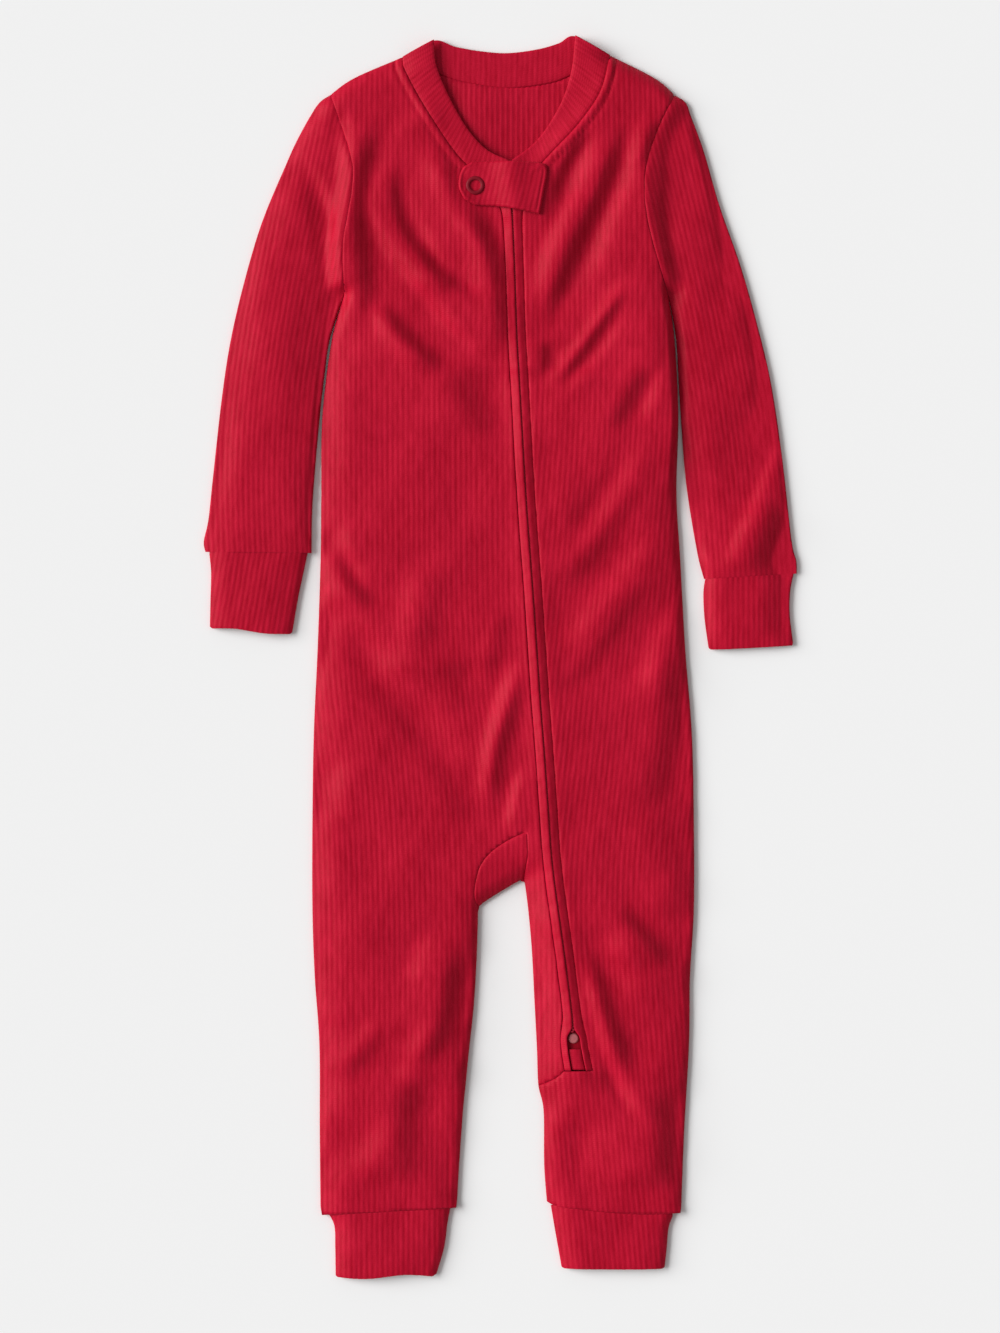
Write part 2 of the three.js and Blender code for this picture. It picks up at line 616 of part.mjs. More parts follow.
// Sleeves
const sleeveForm = { wall: CLOTH, edge: EDGE_TOP, loft: SLEEVE_LOFT, table: SLEEVE_FOLDS };
add('sleeve_right', tube({
  ...sleeveForm,
  side: 1,
  drift: RIB_DRIFT.sleeveRight,
  outer: line([
    [-86.9, 290.8], [-92.6, 286.8], [-98, 278.6], [-104.2, 267.2], [-109, 256.7], [-122, 225.7],
    [-131.3, 194.7], [-138.5, 163.8], [-143.2, 132.8], [-147.8, 91.5], [-150, 71], [-152.4, 60],
    [-151.5, 54.6],
  ], 2),
  inner: line([[-79.5, 188], [-87, 165], [-90.2, 145], [-92.5, 125], [-96, 81], [-96.6, 54]], 2),
  upperEnd: armholeRight,
  lowerEnd: [],
  past: [[-60, 240]],
}));
add('sleeve_left', tube({
  ...sleeveForm,
  side: -1,
  drift: RIB_DRIFT.sleeveLeft,
  outer: line([
    [91.1, 290.6], [96.8, 286.8], [99.6, 279.5], [106, 262], [114.3, 233.4], [125.1, 202.5],
    [133.9, 171.5], [141.1, 140.6], [146.8, 102], [151.5, 60.6], [154, 50], [154.2, 43.4],
  ], 2),
  inner: line([[87.5, 188], [92.2, 165], [94, 133], [97.5, 91.5], [102.5, 55.4], [106.2, 40.6]], 2),
  upperEnd: armholeLeft,
  lowerEnd: [],
  past: [[60, 240]],
}));

// Cuffs
const cuffForm = { wall: CUFF_WALL, edge: CUFF_EDGE, loft: CUFF_LOFT, drift: RIB_DRIFT.straight };
add('sleeve_cuff_right', tube({
  ...cuffForm,
  side: 1,
  drift: RIB_DRIFT.cuffRight,
  outer: line([[-149.6, 54.6], [-148.6, 44], [-148.9, 30], [-149.2, 16]], 2),
  inner: line([[-98.6, 54], [-101.4, 41], [-103.5, 31], [-106.6, 13]], 2),
  upperEnd: [],
  lowerEnd: line([[-148, 15], [-136, 14.8], [-121, 12.4], [-108, 12.1]], 2),
}));
add('sleeve_cuff_left', tube({
  ...cuffForm,
  side: -1,
  outer: line([[152.6, 43.3], [150.8, 34], [150.6, 22], [152.3, 7.4]], 2),
  inner: line([[106.8, 40.6], [105.9, 33], [106.5, 20], [108.6, 4.8]], 2),
  upperEnd: [],
  lowerEnd: line([[151.8, 6.2], [136.5, 5.2], [119, 4.3], [110, 4.1]], 2),
}));
add('leg_cuff_right', tube({
  ...cuffForm,
  side: 1,
  outer: line([[-87.6, -287.8], [-84.8, -294], [-84.4, -305], [-84.2, -319.4]], 2),
  inner: line([[-24.8, -284.4], [-26.3, -292], [-28.1, -305], [-32, -318.4]], 2),
  upperEnd: [],
  lowerEnd: line([[-83.2, -320.2], [-68, -320.9], [-49, -318.8], [-34, -319.7]], 2),
}));
add('leg_cuff_left', tube({
  ...cuffForm,
  side: -1,
  drift: RIB_DRIFT.legCuffLeft,
  outer: line([[90.6, -287.7], [88, -294.5], [87, -305], [85.9, -315]], 2),
  inner: line([[27, -283], [29.4, -297], [31, -306], [32.6, -315]], 2),
  upperEnd: backwards(hemLeft.filter(([x]) => x > 28 && x < 89.5)),
  lowerEnd: line([[84.8, -315.8], [60, -316], [34, -315.7]], 2),
}));

// Collar: a folded rib band, whose ribs run across it. Its two front stretches lie on the ends of
// the back one at the shoulders and meet under the snap tab.
function collarTop(x, y) {
  const fromBack = Math.min(...COLLAR.backEnds.map(([ax, ay]) => Math.hypot(x - ax, y - ay)));
  const risen = smoothstep((fromBack - COLLAR.riseFrom) / COLLAR.riseOver);
  return COLLAR.shoulderTop + (COLLAR.top - COLLAR.shoulderTop) * risen + zipRidge(x, y);
}

// Evenly spaced places along a line
function spaced(points, count, from = 0, to = 1) {
  const path = new THREE.CurvePath();
  for (let i = 1; i < points.length; i++) {
    path.add(new THREE.LineCurve(new THREE.Vector2(...points[i - 1]), new THREE.Vector2(...points[i])));
  }
  return Array.from({ length: count + 1 }, (_, i) => path.getPointAt(from + ((to - from) * i) / count));
}

function collarBand(seam, fold, { from, to, top, under }) {
  const length = new THREE.SplineCurve(seam.map(([x, y]) => new THREE.Vector2(x, y))).getLength();
  const count = 2 * Math.round((length * (to - from)) / RIB_PITCH);
  const seams = spaced(seam, count, from, to);
  const folded = spaced(fold, count, from, to);
  return sweep(seams.map((p, i) => {
    const rib = (i % 2 ? 0.5 : -0.5) * RIB_RELIEF;
    const a = p.clone().lerp(folded[i], SEAM_GAP / p.distanceTo(folded[i]));
    const b = folded[i];
    return [
      [a.x, a.y, under(a.x, a.y)], [b.x, b.y, under(b.x, b.y)],
      [b.x, b.y, top(b.x, b.y) + rib - COLLAR.roundOff], [a.x, a.y, top(a.x, a.y) + rib],
    ];
  }));
}

const frontBand = { from: 0, to: 0.985, top: collarTop, under: (x, y) => collarTop(x, y) - COLLAR.front };
add('collar_front_right', collarBand(neckRight, neckOpenRight, frontBand));
add('collar_front_left', collarBand(neckLeft, neckOpenLeft, frontBand));
add('collar_back', collarBand(backNeck, backCollarTop, {
  from: 0.05, to: 0.95, top: () => COLLAR.back, under: () => 0,
}));

// Zip: stations down its middle line, and what each piece holds there
const zipLevels = [];
for (let i = 1; i < ZIP.length; i++) {
  const [a, b] = [ZIP[i - 1].y, ZIP[i].y];
  const parts = Math.ceil((a - b) / ZIP_STATION);
  for (let k = 0; k < parts; k++) zipLevels.push(a + ((b - a) * k) / parts);
}
const coilTop = SLIDER.y - SLIDER.long / 2 - 2 * SEAM_GAP;
const coilBottom = STOP.y + STOP.radius + 2 * SEAM_GAP;
zipLevels.push(ZIP.at(-1).y, coilTop, coilTop - COIL.taper, coilBottom + COIL.taper, coilBottom);
zipLevels.sort((a, b) => b - a);
zipLevels[0] -= SEAM_GAP;
const bandTop = (x, y) => bodyTop(x, y) + BAND_PROUD;
const tapeTop = (x, y) => bandTop(x, y) - BAND_THICK - 1.5 * SEAM_GAP;

function zipBand(side) {
  return sweep(zipLevels.map((y) => {
    const place = (across, down) => {
      const x = zipX(y) + side * (zipSlit(y) + across * BAND_WIDTH);
      return [x, y, bandTop(x, y) - down];
    };
    return [
      place(0, BAND_THICK), place(0, 0.5), place(0.35, 0), place(0.75, 0), place(1, 0.5),
      place(1, BAND_THICK),
    ];
  }));
}

add('zip_band_right', zipBand(-1));
add('zip_band_left', zipBand(1));

add('zip_tape', sweep(zipLevels.map((y) => {
  const half = zipSlit(y) + BAND_WIDTH - TAPE_INSET;
  const rise = y < coilTop && y > coilBottom ? COIL.rise : COIL.least;
  const place = (across, up) => [zipX(y) + across, y, tapeTop(zipX(y) + across, y) + up];
  return [
    place(-half, 0), place(-COIL.foot, 0), place(-COIL.top, rise), place(COIL.top, rise),
    place(COIL.foot, 0), place(half, 0), place(half, -TAPE_THICK), place(-half, -TAPE_THICK),
  ];
})), { colour: '#8f1228' });

// The highest that a face stands under a round or square footprint
function highest(face, x, y, reach) {
  let best = -Infinity;
  for (let i = -4; i <= 4; i++) {
    for (let j = -4; j <= 4; j++) best = Math.max(best, face(x + (i / 4) * reach, y + (j / 4) * reach));
  }
  return best;
}

function turned(profile, sides) {
  const geometry = new THREE.LatheGeometry(profile.map(([r, z]) => new THREE.Vector2(r, z)), sides);
  geometry.rotateX(Math.PI / 2);
  return fromGeometry(geometry);
}

// The slider, closed at the top of the zip and hidden by the tab
const sliderX = zipX(SLIDER.y);
const sliderShape = new THREE.Shape([
  [-0.5, -0.32], [-0.34, -0.5], [0.34, -0.5], [0.5, -0.32], [0.5, 0.3], [0.3, 0.5], [-0.3, 0.5], [-0.5, 0.3],
].map(([x, y]) => new THREE.Vector2(x * SLIDER.wide, y * SLIDER.long)));
const sliderGeometry = new THREE.ExtrudeGeometry(sliderShape, { depth: SLIDER.high, bevelEnabled: false });
const sliderFloor = highest(tapeTop, sliderX, SLIDER.y, SLIDER.long / 2) + SEAM_GAP;
const metal = { colour: '#a8283a', roughness: 0.45, metalness: 0.3 };
add('zip_slider', fromGeometry(sliderGeometry).translate(sliderX, SLIDER.y, sliderFloor), metal);

// The round stop at the bottom of the zip, and the patch below it
const stopX = zipX(STOP.y);
const stopFloor = highest(tapeTop, stopX, STOP.y, STOP.radius) + SEAM_GAP;
const stopProfile = [[0, 0], [1, 0], [1, 0.45], [0.8, 0.72], [0.45, 0.85], [0, 0.88]]
  .map(([r, z]) => [r * STOP.radius, z * STOP.high]);
add('zip_bottom_stop', turned(stopProfile, 16).translate(stopX, STOP.y, stopFloor), metal);
add('zip_end_patch', sweep([0, 0.33, 0.67, 1].map((t) => {
  const y = PATCH.top + (PATCH.bottom - PATCH.top) * t;
  const half = zipSlit(y) - SEAM_GAP;
  const place = (across, up) => [zipX(y) + across, y, tapeTop(zipX(y) + across, y) + up];
  return [
    place(-half, 2 * SEAM_GAP), place(half, 2 * SEAM_GAP), place(half, PATCH.rise * 0.75),
    place(half * 0.6, PATCH.rise), place(-half * 0.6, PATCH.rise), place(-half, PATCH.rise * 0.75),
  ];
})));

// Snap tab over the top of the zip
function tabUnder(x, y) {
  const overBands = TAB.overZip * Math.exp(-(((x - zipX(y)) / TAB.zipSpread) ** 2));
  const overBody = bodyTop(x, y) + TAB.overCloth + overBands;
  const overCollar = Math.max(overBody, collarTop(x, y) + TAB.overCollar);
  return overBody + (overCollar - overBody) * smoothstep((y - TAB.collarFrom) / TAB.collarOver);
}
const tabOutline = closed(
  line([[-17.5, 236], [-20.4, 242], [-20.2, 248], [-18.3, 252.5], [-13.5, 255.6]], 2),
  line([[1, 255.8], [21, 254.8], [25, 251.5], [23.4, 240], [21.4, 228.3]], 2),
  line([[13, 230.2], [0, 232.4], [-12, 233.2]], 2),
);
const tabTop = (x, y) => tabUnder(x, y) + TAB.thick;
const tabForm = { top: tabTop, under: tabUnder, step: TAB.insideStep };
add('snap_tab', cutPiece(tabOutline, { drift: RIB_DRIFT.tab, ...tabForm }));

const snapFloor = highest(tabTop, SNAP.x, SNAP.y, SNAP.outer * 0.8) + RIB_RELIEF / 2 + SEAM_GAP;
const snapProfile = [
  [SNAP.inner, 0], [SNAP.outer, 0], [SNAP.outer, SNAP.high * 0.6], [SNAP.outer - 0.5, SNAP.high],
  [SNAP.inner + 0.4, SNAP.high], [SNAP.inner, SNAP.high * 0.6], [SNAP.inner, 0],
];
add('snap_ring', turned(snapProfile, 20).translate(SNAP.x, SNAP.y, snapFloor), metal);

// The origin is at the middle of the underside
const box = new THREE.Box3().setFromObject(pajama);
const middle = box.getCenter(new THREE.Vector3());
pajama.position.set(-middle.x, -middle.y, -box.min.z);
pajama.updateMatrixWorld(true);

export default pajama;
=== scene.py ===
"""A onesie pajama for a one-year-old, of fine rib knit, laid flat on its back with the zip up.

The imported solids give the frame. Each cloth piece is made again as a thin shell on the same lines,
with every rib, fold and seam in its mesh. Work is in millimetres, in the part's source frame, and
the meshes are moved and scaled to the frame's metres at the end. Right and left are the wearer's.
"""
import math

import bmesh
import bpy
import numpy as np
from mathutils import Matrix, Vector


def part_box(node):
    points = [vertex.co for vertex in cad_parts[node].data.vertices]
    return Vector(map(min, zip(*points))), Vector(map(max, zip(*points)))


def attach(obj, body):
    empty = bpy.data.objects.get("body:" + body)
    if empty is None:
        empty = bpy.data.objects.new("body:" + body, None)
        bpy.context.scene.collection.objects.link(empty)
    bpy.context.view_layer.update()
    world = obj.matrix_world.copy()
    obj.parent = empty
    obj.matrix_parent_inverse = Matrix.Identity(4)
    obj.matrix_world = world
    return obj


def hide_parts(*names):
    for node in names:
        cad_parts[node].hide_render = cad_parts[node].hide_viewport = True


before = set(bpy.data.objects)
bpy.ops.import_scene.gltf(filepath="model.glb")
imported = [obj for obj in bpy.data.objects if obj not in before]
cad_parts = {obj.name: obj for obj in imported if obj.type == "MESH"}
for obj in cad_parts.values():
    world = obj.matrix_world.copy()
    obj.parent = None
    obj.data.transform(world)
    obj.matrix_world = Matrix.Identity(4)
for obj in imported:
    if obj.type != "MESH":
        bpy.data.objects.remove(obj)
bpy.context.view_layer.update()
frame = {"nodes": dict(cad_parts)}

MM = 0.001
PHOTO_MM = 0.516  # one pixel of the view, and the pixel at the source frame's origin
PHOTO_ORIGIN = (498.5, 657.5)

RIB_PITCH = 2.7
RIB_RELIEF = 0.13
CLOTH = 1.2

BODY_CREST = 4.9
SLEEVE_CREST = 4.4
ROUND = {"middle": 10, "lean": 6, "reach": 20}
BAND_WIDTH = 3.5
SLIT_SHOWN = 0.2
ZIP_RIDGE = 1.7
ZIP_SPREAD = 8
SNAP = {"x": -12, "y": 243.3, "outer": 4.85, "inner": 2.9}
STOP = {"y": -196.4, "radius": 2.7}
SLIDER_Y = 237

ring_low, ring_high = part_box("snap_ring")
SHIFT = (
    (ring_low[0] + ring_high[0]) / 2 - SNAP["x"] * MM,
    (ring_low[1] + ring_high[1]) / 2 - SNAP["y"] * MM,
)


def place(px, py):
    """A pixel of the view as a place in the source frame."""
    return ((px - PHOTO_ORIGIN[0]) * PHOTO_MM, (PHOTO_ORIGIN[1] - py) * PHOTO_MM)


# Tables and lines, as in the part's source
SIDES_Y = [188, 165, 125, 85, 50, 5, -40, -85, -130, -165, -200, -245, -284]
SIDES = {
    "right": [-79.5, -86, -91, -91.6, -92, -93.5, -95.5, -96.2, -96.2, -95, -92.6, -92.4, -92],
    "left": [87.5, 91, 93, 92, 94, 96.5, 100, 101, 101, 99, 98.5, 96, 94.5],
}
INNER_Y = [-129, -151, -178, -203, -221, -234, -262, -281]
INNER = {
    "right": [-10.5, -11.1, -12.6, -15.2, -17, -18.3, -20.3, -21.4],
    "left": [15.2, 17.2, 18.6, 19.9, 20.6, 23.3, 23.6, 25],
}
ZIP_Y = [245, 234, 226, 200, 169, 133, 82, 26, -21, -48, -78, -109, -155, -182, -189, -196, -204, -213]
ZIP_X = [6.2, 6.8, 7.2, 8.3, 9.3, 11.3, 14.2, 18.3, 21.4, 23.5, 25.6, 28, 34.2, 37.6, 38.2, 38.6, 39.6, 41.3]
ZIP_SLIT = [3, 3, 1.5, 1.2, 1.2, 1.2, 1.2, 1.2, 1.2, 1.2, 1.2, 1.2, 1.2, 1.3, 2, 3.3, 3.6, 3.8]


def spline(points, between=8):
    """A smooth line through places."""
    p = np.array(points, float)
    n = len(p)
    out = []
    for i in range(n - 1):
        a, b, c, d = p[max(0, i - 1)], p[i], p[i + 1], p[min(n - 1, i + 2)]
        for k in range(between):
            t = k / between
            out.append(
                0.5 * ((2 * b) + (c - a) * t + (2 * a - 5 * b + 4 * c - d) * t**2 + (3 * b - 3 * c + d - a) * t**3)
            )
    out.append(p[-1])
    return np.array(out)


def column(ys, xs, between=8):
    return spline(list(zip(xs, ys)), between)


def lookup(ys, values, y):
    """A table's value at levels, smooth between its rows, which run down the body."""
    line = column(ys, values, 12)
    return np.interp(-np.asarray(y, float), -line[:, 1], line[:, 0])


def smoothstep(t):
    s = np.clip(t, 0, 1)
    return s * s * (3 - 2 * s)


side_right = column(SIDES_Y, SIDES["right"])
side_left = column(SIDES_Y, SIDES["left"])
inner_right = column(INNER_Y, INNER["right"])
inner_left = column([-114] + INNER_Y, [13.2] + INNER["left"])
crotch = spline([(13.2, -114), (2.8, -120), (-6, -125.5), (-10.5, -129)])
shoulder_right = spline([(-49.3, 310.4), (-74.6, 299.5), (-86.9, 290.8)])
shoulder_left = spline([(57.4, 311.2), (80.8, 299.4), (91.1, 290.6)])
armhole_right = spline(
    [(-86.9, 290.8), (-80, 271), (-75.2, 253), (-76.2, 237), (-80.2, 213), (-79.5, 188)]
)
armhole_left = spline([(91.1, 290.6), (83.3, 275), (77, 257), (75.2, 241), (78, 220), (87.5, 188)])
neck_right = spline([(-49.3, 310.4), (-47.8, 302), (-35.5, 280), (-20.5, 258.5), (-9, 249.5), (6.2, 245.2)])
neck_left = spline([(57.4, 311.2), (52.6, 292.2), (41.5, 275.5), (28, 261), (18, 251), (6.2, 245.2)])
open_right = spline([(-33.5, 318.8), (-32.3, 306), (-26.3, 291), (-16.5, 273.5), (-6, 262), (6.2, 256)])
open_left = spline([(39.8, 321), (38, 304), (33.6, 289), (26, 275), (17.5, 264.5), (6.2, 256)])
back_neck = spline(
    [(-49.3, 310.4), (-30.2, 301.5), (-13, 296.6), (5, 294.6), (24.5, 296.8), (36, 300.5), (57.4, 311.2)]
)
back_collar_top = spline(
    [(-49.3, 310.4), (-33.5, 318.8), (-22, 315.5), (-8, 313.1), (5, 312.3), (20, 314.2), (31, 317.3), (39.8, 321), (57.4, 311.2)]
)
hem_right = np.array([(-91.2, -288), (-21.8, -284.2)])
hem_left = spline([(25.4, -281.5), (34, -284), (70, -287.4), (94, -287)])
gusset_top = spline([(-10.5, -129), (-12.4, -122), (-10.3, -109.7), (-4.9, -101.4), (4, -94.8), (14.7, -89.6)])
gusset_side = np.array([(14.7, -89.6), (15.2, -102), (13.2, -114)])
tongue_seam = spline([(33.8, -213.4), (30.5, -216.4), (26, -219), (20.6, -221.2)])
zip_corner = np.array([(48.9, -213.3)])


def zip_x(y):
    return lookup(ZIP_Y, ZIP_X, y)


def zip_slit(y):
    return lookup(ZIP_Y, ZIP_SLIT, y)


def panel_side(side):
    ys = np.linspace(245, -213, 120)
    return np.stack([zip_x(ys) + side * (zip_slit(ys) + BAND_WIDTH), ys], axis=1)


def closed(*lines):
    """One outline from lines, with no place twice."""
    points = np.concatenate(lines)
    gap = np.linalg.norm(points - np.roll(points, 1, axis=0), axis=1)
    return points[gap > 0.03]


body_outline = closed(
    shoulder_right[::-1], back_neck[1:-1], shoulder_left, armhole_left[1:], side_left[1:], hem_left[::-1],
    inner_left[::-1], crotch[1:], inner_right[1:], hem_right[::-1], side_right[::-1], armhole_right[::-1][1:-1],
)
body_edges = [shoulder_right, shoulder_left, side_right, side_left, inner_left, inner_right, crotch]
body_reach = closed(
    shoulder_right[::-1], [(-30, 330), (40, 330)], shoulder_left, [(140, 262), (140, 200)], side_left,
    [(95, -300), (26, -300)], inner_left[::-1], crotch[1:], inner_right[1:], [(-22, -300), (-92, -300)],
    side_right[::-1], [(-140, 200), (-140, 262)],
)
front_right_outline = closed(
    shoulder_right, armhole_right, side_right, hem_right, inner_right[::-1], gusset_top, gusset_side,
    inner_left[inner_left[:, 1] > -221], tongue_seam[::-1], panel_side(-1)[::-1], neck_right[::-1],
)
front_left_outline = closed(
    shoulder_left, armhole_left, side_left, hem_left[::-1], inner_left[inner_left[:, 1] < -221.3][::-1],
    tongue_seam[::-1], zip_corner, panel_side(1)[::-1], neck_left[::-1],
)


# Measures of places against lines
def nearest(points, x, y):
    """The distance to a line, the nearest place on it, how far along it, and on which side."""
    best = np.full(x.shape, np.inf)
    near_x, near_y = np.zeros(x.shape), np.zeros(x.shape)
    along, side = np.zeros(x.shape), np.zeros(x.shape)
    run = 0.0
    for (ax, ay), (bx, by) in zip(points[:-1], points[1:]):
        dx, dy = bx - ax, by - ay
        length = math.hypot(dx, dy)
        if length < 1e-9:
            continue
        t = np.clip(((x - ax) * dx + (y - ay) * dy) / length**2, 0, 1)
        qx, qy = ax + t * dx, ay + t * dy
        distance = np.hypot(qx - x, qy - y)
        closer = distance < best
        best = np.where(closer, distance, best)
        near_x, near_y = np.where(closer, qx, near_x), np.where(closer, qy, near_y)
        along = np.where(closer, run + t * length, along)
        side = np.where(closer, dx * (y - ay) - dy * (x - ax), side)
        run += length
    return best, near_x, near_y, along / max(run, 1e-9), side


def distance_to(lines, x, y):
    return np.min([nearest(points, x, y)[0] for points in lines], axis=0)


def inside(outline, x, y):
    found = np.zeros(x.shape, bool)
    for (ax, ay), (bx, by) in zip(outline, np.roll(outline, 1, axis=0)):
        if ay == by:
            continue
        crosses = ((ay > y) != (by > y)) & (x < (bx - ax) * (y - ay) / (by - ay) + ax)
        found ^= crosses
    return found


# Folds, as the slopes that make them: places of the view that a slope runs through from its upper
# end, how steeply the cloth rises to the viewer's right there (below 0 where it falls), and the
# slope's half width in mm
BODY_SLOPES = [
    ([(372, 130), (380, 210), (405, 270), (440, 320)], -0.15, 10.0),
    # right side of the chest
    ([(402, 143), (425, 167), (452, 213), (472, 245), (486, 285)], 0.25, 4.0),
    ([(436, 128), (452, 165), (472, 205), (492, 248), (501, 290), (504, 370)], -0.81, 5.6),
    ([(386, 140), (376, 172), (370, 205), (378, 233), (400, 263), (420, 287), (443, 317), (470, 343), (490, 362)], 0.51, 3.8),
    ([(397, 156), (396, 195), (405, 228), (425, 255), (455, 283), (482, 306)], -0.71, 3.8),
    ([(382, 112), (369, 150), (363, 190), (361, 230), (365, 280), (360, 345)], -0.68, 5.6),
    ([(345, 108), (350, 135), (351, 165)], 0.36, 2.9),
    ([(415, 220), (430, 243), (443, 267), (455, 284)], 0.36, 3.1),
    ([(418, 250), (440, 280), (455, 295)], -0.27, 3.4),
    ([(365, 303), (383, 330), (400, 353), (415, 376)], 0.33, 4.7),
    ([(378, 300), (400, 328), (425, 352), (450, 372)], -0.59, 4.5),
    ([(440, 370), (470, 400), (492, 440)], -0.27, 9.0),
    ([(425, 110), (405, 122), (392, 135)], 0.15, 4.5),
    # left side of the chest
    ([(548, 330), (549, 450), (553, 560)], 0.15, 8),
    ([(330, 96), (365, 90), (402, 84)], -0.17, 9),
    ([(600, 118), (587, 157), (573, 190), (557, 230), (543, 265), (534, 310)], 0.48, 4.3),
    ([(590, 126), (570, 157), (557, 183), (547, 210)], -0.77, 2.7),
    ([(627, 118), (615, 157), (600, 197), (583, 233), (567, 270), (554, 303), (545, 335)], -0.81, 4.2),
    ([(642, 112), (631, 157), (622, 190), (608, 223), (595, 257), (583, 285)], 0.43, 4.5),
    ([(658, 118), (648, 146), (641, 172)], -0.55, 2.8),
    ([(632, 275), (607, 303), (583, 337), (563, 362), (541, 390)], 0.43, 4.0),
    ([(630, 284), (607, 318), (580, 357), (555, 386)], -0.68, 2.9),
    ([(625, 318), (607, 343), (583, 371), (560, 396)], 0.31, 3.4),
    ([(545, 340), (547, 375)], -0.56, 3.4),
    ([(645, 366), (630, 400), (610, 430)], -0.45, 5.0),
    ([(661, 365), (653, 392), (640, 420)], 0.40, 3.8),
    ([(655, 240), (660, 300), (668, 360)], -0.18, 5),
    # waist, right side
    ([(337, 522), (352, 560), (368, 586)], 0.36, 3.9),
    ([(333, 548), (353, 584), (378, 608)], -0.45, 4.4),
    ([(338, 608), (370, 636), (394, 684)], 0.31, 6.5),
    ([(334, 652), (370, 685), (400, 720), (428, 758), (455, 800), (475, 830)], -0.23, 6.5),
    ([(410, 560), (405, 620), (398, 680)], 0.24, 6.5),
    ([(440, 560), (435, 610), (425, 650)], -0.23, 9.1),
    ([(415, 690), (440, 720), (470, 770)], 0.19, 7.8),
    ([(455, 655), (460, 700), (466, 716)], -0.23, 7.8),
    ([(515, 610), (497, 640), (484, 680)], -0.30, 5.2),
    ([(493, 625), (483, 660), (473, 687)], 0.22, 4.5),
    ([(518, 655), (501, 700), (487, 750), (480, 808)], 0.62, 4.4),
    ([(526, 662), (513, 710), (499, 757), (494, 820)], -0.45, 4.4),
    ([(521, 765), (512, 800), (506, 832)], 0.48, 3.1),
    ([(346, 755), (338, 790), (346, 825)], 0.26, 5.2),
    # waist, left side
    ([(647, 430), (618, 487), (583, 543), (562, 566)], 0.34, 5.7),
    ([(620, 455), (590, 500), (560, 530)], -0.18, 6.5),
    ([(637, 486), (597, 550), (560, 595)], -0.23, 5.7),
    ([(662, 520), (627, 566), (587, 616), (560, 655)], 0.27, 5.5),
    ([(656, 566), (617, 626), (582, 672), (558, 694)], -0.26, 5),
    ([(672, 598), (657, 640), (640, 700)], 0.31, 5.7),
    ([(676, 650), (668, 720), (660, 790), (640, 818)], -0.3, 8),
    ([(600, 700), (612, 760), (600, 820)], -0.11, 13.0),
    ([(640, 820), (660, 850), (670, 880)], -0.13, 10.4),
    # right leg
    ([(432, 930), (418, 960), (408, 985)], 0.29, 5.2),
    ([(457, 945), (451, 1002), (438, 1040), (416, 1070)], -0.50, 5.2),
    ([(416, 1070), (407, 1120), (410, 1192)], -0.38, 8.5),
    ([(428, 1015), (410, 1055), (394, 1090)], 0.31, 6.0),
    ([(446, 1055), (441, 1110), (443, 1170)], 0.14, 4.4),
    ([(388, 1026), (366, 1054), (344, 1082)], -0.26, 5),
    ([(376, 1015), (352, 1045), (336, 1066)], 0.24, 5.2),
    ([(394, 1118), (370, 1150), (350, 1180)], 0.29, 7.2),
    ([(345, 1100), (336, 1130), (340, 1160)], -0.18, 5.2),
    ([(400, 860), (395, 930), (385, 1000)], -0.07, 18.2),
    # left leg
    ([(582, 950), (592, 1000), (606, 1050), (626, 1094), (650, 1130)], 0.55, 3.9),
    ([(589, 945), (604, 995), (618, 1036), (636, 1076)], -0.56, 4.4),
    ([(616, 906), (645, 934), (672, 968)], -0.52, 4.4),
    ([(608, 925), (622, 965), (640, 1000)], 0.31, 6.5),
    ([(600, 1062), (614, 1092), (628, 1112)], -0.23, 3.1),
    ([(655, 1085), (667, 1130), (668, 1195)], -0.41, 7.8),
    ([(612, 1120), (618, 1190)], 0.17, 7.8),
    ([(566, 1105), (567, 1200)], -0.18, 6.5),
    ([(590, 1120), (588, 1190)], 0.17, 6.5),
]
SLEEVE_SLOPES = [
    ([(262, 200), (240, 380), (232, 560)], 0.12, 20),
    ([(706, 140), (714, 380), (728, 560)], -0.17, 14),
    ([(300, 152), (322, 188), (336, 228), (342, 268), (341, 318), (331, 350)], 0.57, 3),
    ([(299, 176), (312, 205), (317, 245), (314, 285)], -0.26, 5),
    ([(300, 250), (296, 330), (290, 400)], -0.15, 8),
    ([(330, 110), (338, 140), (338, 170)], -0.33, 4),
    ([(664, 140), (664, 200), (664, 250), (672, 300)], -0.5, 3),
    ([(780, 540), (776, 590), (770, 650)], -0.3, 9),
    ([(697, 112), (710, 160), (720, 215), (730, 270)], -0.4, 6),
    ([(745, 280), (756, 360), (764, 430)], -0.30, 8),
    ([(776, 440), (756, 500), (736, 540), (724, 572)], 0.39, 3.4),
    ([(788, 500), (768, 545), (752, 580)], -0.54, 8),
    ([(700, 420), (708, 500), (712, 560)], 0.16, 6),
]
SLOPE_STEP = 0.5
SLOPE_DECAY = 32


